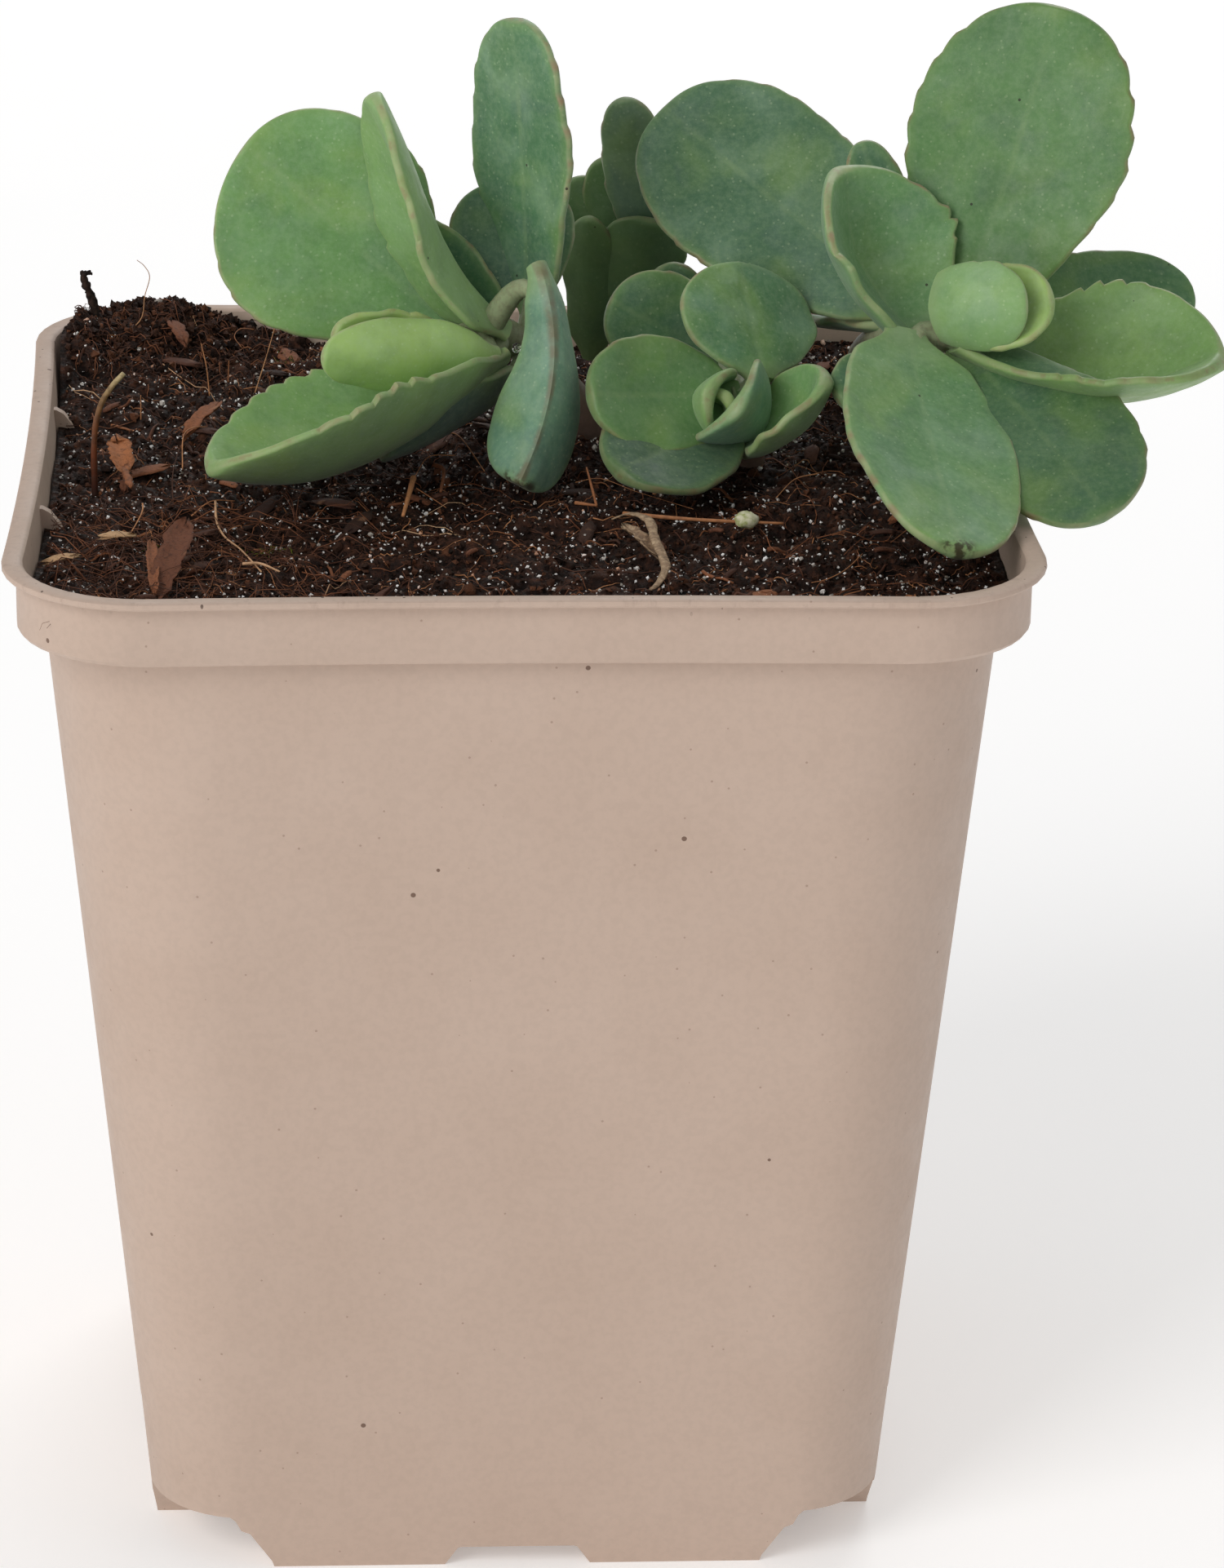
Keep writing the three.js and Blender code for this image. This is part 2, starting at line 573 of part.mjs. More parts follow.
// A short stalk from the stem to the foot of a leaf, its ends sunk in both
function leafStalk(stem, shape) {
  const leaf = { ...LEAF, ...shape };
  const end = midribAt(leaf, STALK_SUNK).point;
  const start = nearestOnStem(stem, midribAt(leaf, 0).point);
  const middle = midribAt(leaf, 0).point.lerp(start, STALK_BEND);
  const path = [start, middle, end].map((point) => point.toArray());
  return rod(path, STALK_START_RADIUS, STALK_END_RADIUS, 5, 2);
}

function shoot(plan) {
  let body = stemRod(plan, 0);
  for (const leaf of plan.leaves) {
    body = body.add(leafBlade(leaf)).add(leafStalk(plan.stem, leaf));
  }
  return oneBody(body);
}

// Loose bits that lie on the soil or stand in it

const BITS = {
  brown_stalk: {
    path: [[-38, -6, 92], [-38, -6, 96], [-38, -6, 99], [-37.5, -6, 102], [-35.5, -6, 106]],
    radius: [0.5, 0.35],
  },
  dark_twig: {
    path: [[-38, 36.5, 94], [-39, 36.5, 98.5], [-39.5, 36.5, 101], [-40, 36.5, 103]],
    radius: [0.7, 0.5],
  },
  seed_stalk: {
    path: [[9.5, -15, 95.7], [16, -16.5, 96.2], [23.5, -18, 95.6]],
    radius: [0.4, 0.35],
    seed: { place: [20, -17.5, 96.2], size: [1.5, 1, 0.9] },
  },
  pale_root: {
    path: [[-27, -12.5, 96.2], [-26.5, -17.5, 95.5], [-25.5, -22, 95.4], [-23, -29, 95.3]],
    radius: [0.35, 0.35],
  },
};

const FLAKES = {
  bark_flake_long: { place: [-30.5, -31, 96.2], length: 9.5, width: 3, thickness: 0.9, heading: 85,
    tilt: 24 },
  bark_flake_small: { place: [-35.5, -1, 95.9], length: 9, width: 2.2, thickness: 0.8, heading: 98, tilt: 6 },
  dead_leaf: { place: [10.5, -25, 96.4], length: 7, width: 4.5, thickness: 0.7, heading: 118, tilt: 12 },
};

function bit({ path, radius, seed }, growth) {
  const body = rod(path, radius[0] + growth, radius[1] + growth, 6, 8, growth);
  if (!seed) {
    return body;
  }
  const grain = new THREE.SphereGeometry(1, 10, 7);
  grain.scale(seed.size[0] + growth, seed.size[1] + growth, seed.size[2] + growth);
  grain.translate(seed.place[0], seed.place[1], seed.place[2]);
  return body.add(solid(grain));
}

// A flake is a thin six-sided bar that narrows and bends down towards both ends
function flake({ place, length, width, thickness, heading, tilt }, growth) {
  const stations = [-0.5, -0.3, 0, 0.3, 0.5];
  const section = [[1, 0], [0.5, 1], [-0.5, 1], [-1, 0], [-0.5, -1], [0.5, -1]];
  const pose = new THREE.Matrix4().makeTranslation(place[0], place[1], place[2]);
  pose.multiply(new THREE.Matrix4().makeRotationZ(radians(heading)));
  pose.multiply(new THREE.Matrix4().makeRotationY(radians(-tilt)));
  const rings = stations.map((station) => {
    const narrowing = 1 - 2.2 * station * station;
    const along = station * (length + 2 * growth);
    const sag = -thickness * 2 * station * station;
    return section.map(([across, up]) => {
      const y = across * ((width / 2) * narrowing + growth);
      return new THREE.Vector3(along, y, sag + up * (thickness / 2 + growth)).applyMatrix4(pose);
    });
  });
  return loft(rings);
}

// Soil surface: gentle lumps, a heap in the back left corner and hollows under the low leaves

const HEAP = { x: -40, y: 40, radius: 12, height: 5 };
const HOLLOWS = [
  { x: -8, y: -2, radius: 10, depth: 0.9 },
  { x: 0, y: -13, radius: 7, depth: 0.6 },
  { x: 38, y: -30, radius: 8, depth: 1 },
  { x: 11, y: -13, radius: 8, depth: 0.5 },
];

const mound = (x, y, spot) => Math.exp(-((x - spot.x) ** 2 + (y - spot.y) ** 2) / spot.radius ** 2);

function soilHeight(x, y) {
  const lumps = 0.28 * Math.sin(0.55 * x + 1) * Math.cos(0.48 * y) + 0.2 * Math.sin(0.31 * x - 0.43 * y + 2);
  const hollows = HOLLOWS.reduce((sum, spot) => sum + spot.depth * mound(x, y, spot), 0);
  return SOIL_LEVEL + lumps + HEAP.height * mound(x, y, HEAP) - hollows;
}

function growingMedium() {
  const wall = potInside(GAP, POT_HEIGHT);
  const rings = wall.slice(0, 3);
  const edge = squareRing(BAND_HALF - POT_WALL - GAP, BAND_CORNER - POT_WALL - GAP, SOIL_LEVEL, SIDE_BOW);
  for (let ring = SOIL_RINGS; ring > 0; ring -= 1) {
    const scale = ring / SOIL_RINGS;
    rings.push(edge.map(({ x, y }) => {
      const height = soilHeight(x * scale, y * scale);
      return new THREE.Vector3(x * scale, y * scale, height);
    }));
  }
  let body = loft(rings);
  const cutters = [
    ...Object.values(SHOOTS).map((plan) => stemRod(plan, GAP)),
    ...Object.values(BITS).map((plan) => bit(plan, GAP)),
    ...Object.values(FLAKES).map((plan) => flake(plan, GAP)),
    ...lugs(GAP),
  ];
  for (const cutter of cutters) {
    body = body.subtract(cutter);
  }
  return body;
}

// Materials

const matt = (color, roughness) => new THREE.MeshStandardMaterial({ color, roughness, metalness: 0 });
const POT_PLASTIC = matt(0xc1a896, 0.62);
const SOIL = matt(0x2e221d, 0.95);
const LEAF_GREEN = matt(0x6f9a66, 0.5);
const LEAF_DARK = matt(0x5c7f62, 0.5);
const BARK = matt(0x7a4a2e, 0.85);
const STRAW = matt(0xc29a68, 0.8);
const DARK_WOOD = matt(0x2a211c, 0.95);

const SHOOT_MATERIALS = { left: LEAF_GREEN, back: LEAF_DARK, front: LEAF_GREEN, right: LEAF_GREEN };
const BIT_MATERIALS = {
  brown_stalk: BARK,
  dark_twig: DARK_WOOD,
  seed_stalk: STRAW,
  pale_root: STRAW,
  bark_flake_long: BARK,
  bark_flake_small: BARK,
  dead_leaf: BARK,
};

// The whole plant in its pot
const plantInPot = new THREE.Group();
plantInPot.position.x = POT_X;
plantInPot.add(solidMesh("pot", pot(), POT_PLASTIC));
plantInPot.add(solidMesh("growing_medium", growingMedium(), SOIL));
for (const [side, plan] of Object.entries(SHOOTS)) {
  plantInPot.add(solidMesh(`shoot_${side}`, shoot(plan), SHOOT_MATERIALS[side]));
}
for (const [name, plan] of Object.entries(BITS)) {
  plantInPot.add(solidMesh(name, bit(plan, 0), BIT_MATERIALS[name]));
}
for (const [name, plan] of Object.entries(FLAKES)) {
  plantInPot.add(solidMesh(name, flake(plan, 0), BIT_MATERIALS[name]));
}

const pottedSedum = new THREE.Group();
pottedSedum.add(plantInPot);
export default pottedSedum;
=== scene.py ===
# %% [markdown]
# # A potted sedum in a square nursery pot
# A young sedum with thick, waxy leaves leans out of a small square pot of peaty soil.
# This lesson dresses the packed part, piece by piece: the pot, the soil and what lies on it, the
# leaves with their stems, and last the floor, the lights and the camera.
# The packed part is loaded first. It stays as it is, and every new piece is made in its frame.

import math

import bmesh
import bpy
import numpy as np
from mathutils import Matrix, Vector, noise


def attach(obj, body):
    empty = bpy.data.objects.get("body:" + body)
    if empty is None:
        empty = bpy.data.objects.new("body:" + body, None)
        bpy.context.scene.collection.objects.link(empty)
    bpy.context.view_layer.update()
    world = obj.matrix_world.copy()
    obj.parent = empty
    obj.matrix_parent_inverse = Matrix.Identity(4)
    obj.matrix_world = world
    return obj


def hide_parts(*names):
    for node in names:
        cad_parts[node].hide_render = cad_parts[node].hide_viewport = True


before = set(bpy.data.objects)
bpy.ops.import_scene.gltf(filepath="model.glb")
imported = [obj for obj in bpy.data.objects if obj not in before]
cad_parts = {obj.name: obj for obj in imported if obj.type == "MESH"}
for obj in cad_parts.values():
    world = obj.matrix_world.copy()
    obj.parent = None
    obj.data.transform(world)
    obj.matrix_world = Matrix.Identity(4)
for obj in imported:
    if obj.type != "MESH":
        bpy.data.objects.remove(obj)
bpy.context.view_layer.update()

# %% [markdown]
# ## Millimetres, and where the pot stands
# A plant this small is easiest to describe in millimetres, so every shape below is, and only the last
# step turns it into metres. The plant leans over the right side of its pot, so the pot stands left of
# the middle of the frame. All places below are measured from the middle of the pot. Whatever lies at
# random comes from one seeded generator, so every run gives the same plant.

# %% Units, the place of the pot, and chance
MM = 0.001
FULL_TURN = 2 * math.pi
POT_X = -9.6
chance = np.random.default_rng(7)
print("the pot's middle lies at x =", POT_X, "mm")

# %% [markdown]
# ## Three small sums
# The shapes below keep asking for the same three things: an arrow cut to length one, a value part of
# the way between two others, and a soft step from 0 to 1. Blender's own vectors can do each of them
# for one place. These do it for a whole list of places at once, which is much faster.

# %% Arrows, shares and soft steps
def unit(arrows):
    return arrows / np.maximum(np.linalg.norm(arrows, axis=-1, keepdims=True), 1e-9)


def mix(a, b, share):
    return a + (b - a) * share


def smoothstep(low, high, x):
    t = np.clip((x - low) / (high - low), 0, 1)
    return t * t * (3 - 2 * t)


print("a quarter of the way along, a soft step has reached", smoothstep(0, 1, 0.25))

# %% [markdown]
# ## A way to gather shapes
# Blender can turn lists of points and faces into a mesh. A shoot has a dozen leaves and the soil has
# thousands of crumbs, so the lists are gathered first and become one mesh at the end. Each point also
# carries a few numbers, such as how far along its leaf it lies, that the finish can read later.

# %% Gathering points, faces and values
class Shape:
    def __init__(self):
        self.points = []
        self.faces = []
        self.values = {}
        self.count = 0

    def add(self, points, faces, **values):
        points = np.asarray(points, float).reshape(-1, 3)
        self.points.append(points)
        self.faces += [tuple(int(i) + self.count for i in face) for face in faces]
        for name, value in values.items():
            self.values.setdefault(name, []).append(np.broadcast_to(value, len(points)))
        self.count += len(points)


print("a new shape starts with", Shape().count, "points")

# %% [markdown]
# ## From lists to a piece
# A piece is an object at the origin, with its place in its mesh. It rides on the part's one body, and
# may stand for nodes of the packed part, which are then hidden. Objects could be moved into place
# instead, but then their places would be spread over two sorts of numbers.

# %% Making a piece
def make_piece(shape, name, finish, stands_for=(), sharp_angle=None):
    mesh = bpy.data.meshes.new(name)
    points = (np.concatenate(shape.points) + [POT_X, 0, 0]) * MM
    mesh.from_pydata(points.tolist(), [], shape.faces)
    for value_name, lists in shape.values.items():
        attribute = mesh.attributes.new(value_name, "FLOAT", "POINT")
        attribute.data.foreach_set("value", np.concatenate(lists).astype(np.float32))
    mesh.shade_smooth()
    if sharp_angle:
        mesh.set_sharp_from_angle(angle=math.radians(sharp_angle))
    mesh.materials.append(finish.material)
    piece = bpy.data.objects.new(name, mesh)
    bpy.context.scene.collection.objects.link(piece)
    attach(piece, "root")
    if stands_for:
        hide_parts(*stands_for)
    print(f"{name}: {len(mesh.polygons)} faces")


# %% [markdown]
# ## A closed skin over rings
# The pot, the leaves, the stems and the straws all have a closed section that changes along a line.
# Curves with a bevel could make them, but a skin over equal rings of points gives a closed body in
# which every row of points is known, so that each point can carry its own values.

# %% Skin over rings
def skin(rings):
    """Points and faces of a tube through equal rings, closed by a fan at each end."""
    rings = np.asarray(rings, float)
    rows, count = rings.shape[:2]
    points = np.concatenate([rings.reshape(-1, 3), [rings[0].mean(0)], [rings[-1].mean(0)]])
    faces = []
    for row in range(rows - 1):
        for i in range(count):
            a, b = row * count + i, row * count + (i + 1) % count
            faces.append((a, b, b + count, a + count))
    last = (rows - 1) * count
    for i in range(count):
        j = (i + 1) % count
        faces.append((rows * count, j, i))
        faces.append((rows * count + 1, last + i, last + j))
    return points, faces


print("a skin over two rings of three points has", len(skin(np.zeros((2, 3, 3)))[1]), "faces")

# %% [markdown]
# ## Roughness of the world
# Leaves, peat and twigs are never even. Points could be shaken at random, but that gives needles
# rather than lumps. A noise function moves neighbours alike instead, and it always gives the same
# numbers at the same place.

# %% A field of smooth noise
def lumps(points, size, detail=2, shift=0.0):
    """Smooth noise from about -1 to 1 at each point; size is the width of a lump in mm."""
    scaled = np.asarray(points, float).reshape(-1, 3) / size + shift
    values = [noise.fractal(Vector(p), 1.0, 2.1, detail) for p in scaled]
    return np.array(values)


print("noise near the origin:", round(float(lumps([[0, 0, 0.3]], 1.0)[0]), 3))

# %% [markdown]
# ## Colours
# Colours are written the way a screen shows them, from 0 to 255, because that is how they are judged
# by eye. Light adds up in other numbers, so each one is turned into the linear value that it follows.

# %% Colours as a screen shows them
def shade(red, green, blue):
    def linear(c):
        c = c / 255
        return c / 12.92 if c <= 0.04045 else ((c + 0.055) / 1.055) ** 2.4
    return (linear(red), linear(green), linear(blue), 1.0)


BLACK = (0, 0, 0, 1)
print("the middle grey of a screen reflects", round(shade(128, 128, 128)[0], 3), "of the light")

# %% [markdown]
# ## Finishes from small blocks
# A finish is a chain of shader nodes. It could be joined by hand in the shader editor. In a script, a
# helper that adds a node, fills its inputs and gives back its output lets a whole finish read like a
# few lines of arithmetic. An input is either another node's output or a plain number.

# %% Nodes and their links
class NodeChain:
    def __init__(self, name):
        self.material = bpy.data.materials.new(name)
        self.material.use_nodes = True
        self.tree = self.material.node_tree
        self.shader = self.tree.nodes["Principled BSDF"]

    def put(self, socket, value):
        if isinstance(value, bpy.types.NodeSocket):
            self.tree.links.new(value, socket)
        else:
            socket.default_value = value

    def add(self, kind, output, inputs=None, **settings):
        made = self.tree.nodes.new(kind)
        for key, value in settings.items():
            setattr(made, key, value)
        for key, value in (inputs or {}).items():
            self.put(made.inputs[key], value)
        return made.outputs[output]


print("Blender has", sum(name.startswith("ShaderNode") for name in dir(bpy.types)), "kinds of shader node")

# %% [markdown]
# ## Patterns
# Every mark on this plant is a noise or a scatter of dots in the object's own space, so it stays put
# when the camera moves. A picture wrapped round the mesh would need seams; a pattern in space needs
# none. Sizes are in millimetres here too.

# %% Patterns in space
class Patterns(NodeChain):
    def __init__(self, name):
        super().__init__(name)
        self.where = self.add("ShaderNodeTexCoord", "Object")

    def value(self, name):
        """A number that the points of the mesh carry."""
        return self.add("ShaderNodeAttribute", "Fac", attribute_name=name)

    def height(self):
        return self.add("ShaderNodeSeparateXYZ", "Z", {0: self.where})

    def stretch(self, x, y, z):
        return self.add("ShaderNodeVectorMath", "Vector", {0: self.where, 1: (x, y, z)}, operation="MULTIPLY")

    def grain(self, size, detail=3.0, rough=0.55, warp=0.0, where=None):
        """Cloudy noise from 0 to 1."""
        inputs = {"Vector": where or self.where, "Scale": 1 / (size * MM), "Detail": detail,
                  "Roughness": rough, "Distortion": warp}
        return self.add("ShaderNodeTexNoise", "Fac", inputs)

    def dots(self, spacing, radius, where=None):
        """1 inside scattered dots and 0 between them; the radius is a share of the spacing."""
        inputs = {"Vector": where or self.where, "Scale": 1 / (spacing * MM), "Randomness": 1.0}
        distance = self.add("ShaderNodeTexVoronoi", "Distance", inputs)
        return self.add("ShaderNodeMath", "Value", {0: distance, 1: radius}, operation="LESS_THAN")

    def ramp(self, value, low, high, start=0.0, end=1.0):
        """A soft step from start to end while the value goes from low to high."""
        inputs = {"Value": value, "From Min": low, "From Max": high, "To Min": start, "To Max": end}
        return self.add("ShaderNodeMapRange", "Result", inputs, interpolation_type="SMOOTHSTEP")

    def times(self, first, *others):
        for other in others:
            first = self.add("ShaderNodeMath", "Value", {0: first, 1: other}, operation="MULTIPLY")
        return first


print("patterns:", [name for name in vars(Patterns) if not name.startswith("_")])

# %% [markdown]
# ## Layers of colour and relief
# A painter starts with a ground colour and lays thin coats over it. A finish is built the same way: it
# is painted once, and each further layer covers a share of what is there. Relief only bends the light,
# so it is kept for what is too fine to model.

# %% Paint, layers and relief
class Finish(Patterns):
    def __init__(self, name, roughness, specular=0.4):
        super().__init__(name)
        self.fill({"Roughness": roughness, "Specular IOR Level": specular})

    def fill(self, values):
        for name, value in values.items():
            self.put(self.shader.inputs[name], value)

    def blend(self, share, a, b, kind="MIX"):
        return self.add("ShaderNodeMix", 2, {0: share, 6: a, 7: b}, data_type="RGBA", blend_type=kind)

    def steps(self, value, *stops):
        """Colours at given places of the value, with a smooth change between them."""
        made = self.tree.nodes.new("ShaderNodeValToRGB")
        self.put(made.inputs["Fac"], value)
        band = made.color_ramp
        while len(band.elements) < len(stops):
            band.elements.new(0.5)
        for element, (place, colour) in zip(band.elements, stops):
            element.position = place
            element.color = colour
        return made.outputs["Color"]

    def paint(self, colour):
        self.colour = colour
        self.fill({"Base Color": colour})

    def layer(self, share, colour, kind="MIX"):
        self.paint(self.blend(share, self.colour, colour, kind))

    def relief(self, height, depth, strength=1.0):
        """Bumps; depth in mm is how high a full step of the pattern stands."""
        inputs = {"Height": height, "Distance": depth * MM, "Strength": strength}
        before = self.shader.inputs["Normal"]
        if before.is_linked:
            inputs["Normal"] = before.links[0].from_socket
        self.put(before, self.add("ShaderNodeBump", "Normal", inputs))


print("a finish can:", [name for name in vars(Finish) if not name.startswith("_")])

# %% [markdown]
# ## The pot
# The real pot is injection moulded from reground plastic: straight tapering walls, a collar band, a
# rolled lip, feet cut from the bottom edge, and small fins inside the wall that keep stacked pots from
# jamming. It could be modelled from a cube with bevels. Here rings of the right half width are stacked
# instead, because then each height, width and corner radius is one readable row.

# %% Rings of the pot
CORNER_STEPS = 10
SIDE_STEPS = 12


def square_ring(half, corner, height, bow):
    """A square with rounded corners whose sides bow in by a little in their middle."""
    flat = half - corner
    ring = []
    for c, s in [(1, 0), (0, 1), (-1, 0), (0, -1)]:
        side = [(half - bow * (1 - t * t), t * flat) for t in np.linspace(-1, 1, SIDE_STEPS + 1)]
        turns = [math.pi / 2 * step / CORNER_STEPS for step in range(1, CORNER_STEPS)]
        bend = [(flat + corner * math.cos(a), flat + corner * math.sin(a)) for a in turns]
        ring += [(x * c - y * s, x * s + y * c, height) for x, y in side + bend]
    return ring


# half width, corner radius, height, how far the side bows in
OUTER_WALL = [(33.4, 9.0, 0.0, 0.0), (33.8, 9.3, 4.0, 0.0), (34.68, 9.9, 14.2, 0.05),
              (34.74, 9.9, 14.5, 0.05), (38.0, 12.2, 50.0, 0.15), (41.76, 14.9, 91.3, 0.3)]
COLLAR = [(41.8, 14.9, 91.6, 0.32), (41.9, 14.7, 91.8, 0.4), (43.3, 11.4, 91.8, 0.55),
          (43.62, 11.3, 91.93, 0.6), (43.8, 11.2, 92.3, 0.6), (43.8, 11.2, 96.8, 0.6),
          (43.85, 11.2, 97.15, 0.6)]
LIP = [(43.95, 11.3, 97.3, 0.6), (44.7, 11.9, 97.3, 0.6), (44.9, 12.1, 97.35, 0.6), (45.0, 12.2, 97.5, 0.6),
       (45.0, 12.2, 97.7, 0.6), (44.93, 12.1, 97.87, 0.6), (44.75, 12.0, 97.97, 0.6), (44.4, 11.7, 98.0, 0.6),
       (43.65, 11.1, 98.0, 0.6), (43.4, 10.8, 97.93, 0.6), (43.2, 10.6, 97.75, 0.6), (43.1, 10.5, 97.4, 0.6)]
INNER_WALL = [(42.7, 10.1, 94.0, 0.6), (42.5, 9.9, 92.6, 0.6), (40.4, 13.5, 90.6, 0.3),
              (32.9, 8.2, 7.0, 0.0), (32.3, 7.8, 6.6, 0.0)]
pot_rings = [square_ring(*row) for row in OUTER_WALL + COLLAR + LIP + INNER_WALL]
print(len(pot_rings), "rings of", len(pot_rings[0]), "points")

# %% [markdown]
# ## Slabs on the four sides
# The gaps between the feet and the stacking fins repeat on all four sides. Each is a slab with a simple
# outline, so one helper makes a slab on the right side and turns it to the side that is asked for.

# %% Slabs and stacking fins
SIDES = range(4)
FIN_OUTLINE = [(43.0, 96.6), (42.3, 96.6), (41.6, 96.2), (40.7, 95.0), (40.25, 94.2), (40.1, 93.4),
               (40.3, 92.6), (41.0, 92.2), (43.0, 92.2)]
FIN_OFFSET = 14.7
FIN_HALF = 0.5


def slab(side, outlines):
    turn = Matrix.Rotation(side * math.pi / 2, 3, "Z")
    return skin([[list(turn @ Vector(point)) for point in outline] for outline in outlines])


def fin(side, way):
    """A thin fin inside the wall with a sloping top and a round nose."""
    places = (way * FIN_OFFSET - FIN_HALF, way * FIN_OFFSET + FIN_HALF)
    return slab(side, [[(x, along, z) for x, z in FIN_OUTLINE] for along in places])


print("a fin is", 2 * FIN_HALF, "mm thick and", round(FIN_OUTLINE[0][1] - FIN_OUTLINE[-1][1], 1), "mm high")

# %% [markdown]
# ## Cutting with a boolean
# A saw and a drill take away what their tools pass through, and a boolean modifier does the same. The
# cut can leave tiny edges or a missing face where surfaces just touch, so the result is cleaned: close
# points are joined, open edges are filled, and the number of edges still open is printed.

# %% Cut and clean
TINY = 0.004


def scratch_object(name, points, faces):
    mesh = bpy.data.meshes.new(name)
    mesh.from_pydata(np.asarray(points).tolist(), [], faces)
    tool = bpy.data.objects.new(name, mesh)
    bpy.context.scene.collection.objects.link(tool)
    work = bmesh.new()
    work.from_mesh(mesh)
    bmesh.ops.recalc_face_normals(work, faces=work.faces)
    work.to_mesh(mesh)
    work.free()
    return tool


def cleaned(mesh):
    work = bmesh.new()
    work.from_mesh(mesh)
    bmesh.ops.remove_doubles(work, verts=work.verts, dist=TINY)
    bmesh.ops.dissolve_degenerate(work, edges=work.edges, dist=TINY)
    bmesh.ops.holes_fill(work, edges=[edge for edge in work.edges if edge.is_boundary], sides=0)
    bmesh.ops.triangulate(work, faces=[face for face in work.faces if len(face.verts) > 4])
    print("open edges after cutting:", sum(not edge.is_manifold for edge in work.edges))
    work.to_mesh(mesh)
    work.free()
    return mesh


def cut_away(body, tools):
    """The mesh that is left of the body; the body and the tools are removed."""
    for tool in tools:
        cut = body.modifiers.new("cut", "BOOLEAN")
        cut.object = tool
        cut.operation = "DIFFERENCE"
        cut.solver = "EXACT"
    view = bpy.context.evaluated_depsgraph_get()
    mesh = cleaned(bpy.data.meshes.new_from_object(body.evaluated_get(view)))
    for used in [body, *tools]:
        bpy.data.objects.remove(used)
    return mesh


print("points closer than", TINY, "mm are joined")

# %% [markdown]
# ## Feet, hollow base and drain holes
# Seen from below, such a pot stands on a ring of eight feet, two on each side, with a low gap between
# them and a higher one at each corner. The floor lies above the feet and has five drain holes. All of
# this could be drawn as one complicated base. Cutting it out of the closed pot needs three outlines.

# %% Feet, hollow base and drain holes
FOOT_INNER_END = 6.7
FOOT_OUTER_END = 22.4
FLOOR_UNDERSIDE = 5.3
HOLLOW_HALF = 28.9
DRAIN_RADIUS = 3.5
DRAIN_PLACES = [(0, 0), (20, 20), (20, -20), (-20, 20), (-20, -20)]
# outlines as along the side, height; near and far are the depths that a gap is cut between
CORNER_GAP = [(60, -2), (60, FLOOR_UNDERSIDE), (26.4, FLOOR_UNDERSIDE), (25.9, 4.9), (25.4, 3.9), (24.6, 3.6),
              (22.6, 0.6), (FOOT_OUTER_END, 0), (FOOT_OUTER_END, -2)]
MIDDLE_GAP = [(-FOOT_INNER_END, -2), (FOOT_INNER_END, -2), (FOOT_INNER_END, 0), (5.5, 1.8), (5.2, 1.9),
              (-5.2, 1.9), (-5.5, 1.8), (-FOOT_INNER_END, 0)]
GAP_NEAR, GAP_FAR = 28.6, 37

hollow = [square_ring(HOLLOW_HALF, 0.6, height, 0) for height in (-2, FLOOR_UNDERSIDE)]
cutters = [scratch_object("hollow base", *skin(hollow))]
mirrored = [(-along, up) for along, up in CORNER_GAP]
for side in SIDES:
    for outline in (CORNER_GAP, mirrored, MIDDLE_GAP):
        gap = [[(depth, along, up) for along, up in outline] for depth in (GAP_NEAR, GAP_FAR)]
        cutters.append(scratch_object("gap", *slab(side, gap)))
for x, y in DRAIN_PLACES:
    turns = np.linspace(0, FULL_TURN, 33)[:-1] + 0.07
    hole = [[(x + DRAIN_RADIUS * math.cos(a), y + DRAIN_RADIUS * math.sin(a), z) for a in turns]
            for z in (3, 9)]
    cutters.append(scratch_object("drain hole", *skin(hole)))
cut_pot = cut_away(scratch_object("pot body", *skin(pot_rings)), cutters)

pot = Shape()
pot.add([list(vertex.co) for vertex in cut_pot.vertices], [list(face.vertices) for face in cut_pot.polygons])
for side in SIDES:
    for way in (-1, 1):
        pot.add(*fin(side, way))
print("the cut pot has", len(cut_pot.polygons), "faces")

# %% [markdown]
# ## Taupe plastic
# The plastic is a matt greyish beige. Reground plastic is never one even colour: there is a cloudy
# mottle and a few dark specks, and round the rim there is soil dust, with thin vertical drip marks
# where it was watered. One flat colour would look like paper, so each of these marks is a pattern of
# its own size, laid over the ground colour, and the three kinds of dirt fade out below the rim.

# %% Finish of the pot
taupe = Finish("matt taupe plastic", 0.55, 0.35)
taupe.paint(taupe.blend(taupe.grain(14, 2), shade(186, 163, 147), shade(196, 174, 159)))
taupe.layer(taupe.ramp(taupe.grain(0.7, 2), 0.35, 0.7, 0.0, 0.05), BLACK)
taupe.layer(taupe.times(taupe.dots(7.0, 0.033), 0.8), shade(88, 58, 42))
taupe.layer(taupe.times(taupe.dots(2.2, 0.05), 0.4), shade(112, 82, 64))
# a shader sees heights in metres
near_rim = taupe.ramp(taupe.height(), 0.0955, 0.0983)
streaks = taupe.ramp(taupe.grain(0.8, 3, 0.7, where=taupe.stretch(1, 1, 0.12)), 0.55, 0.72)
dust = taupe.ramp(taupe.grain(1.6, 5, 0.75), 0.56, 0.68)
dirt = taupe.dots(1.5, 0.085, where=taupe.stretch(1, 1, 0.6))
for pattern, share, colour in [(streaks, 0.14, shade(110, 84, 70)), (dust, 0.16, shade(84, 62, 52)),
                               (dirt, 0.85, shade(58, 38, 28))]:
    taupe.layer(taupe.times(near_rim, pattern, share), colour)
taupe.fill({"Roughness": taupe.ramp(taupe.grain(3, 3), 0.3, 0.7, 0.48, 0.62)})
taupe.relief(taupe.grain(0.5, 3), 0.02, 0.6)
taupe.relief(taupe.grain(9, 1), 0.12, 0.5)
make_piece(pot, "nursery_pot", taupe, ["pot"], sharp_angle=32)

# %% [markdown]
# ## The surface of the soil
# The soil is peat with bark fibre and sand, heaped a little in the back left corner and hollowed under
# the low leaves. A displaced plane could make it; here the heights are worked out in the script, so
# that crumbs, grains and fibres can ask for the height of the ground at their own place.

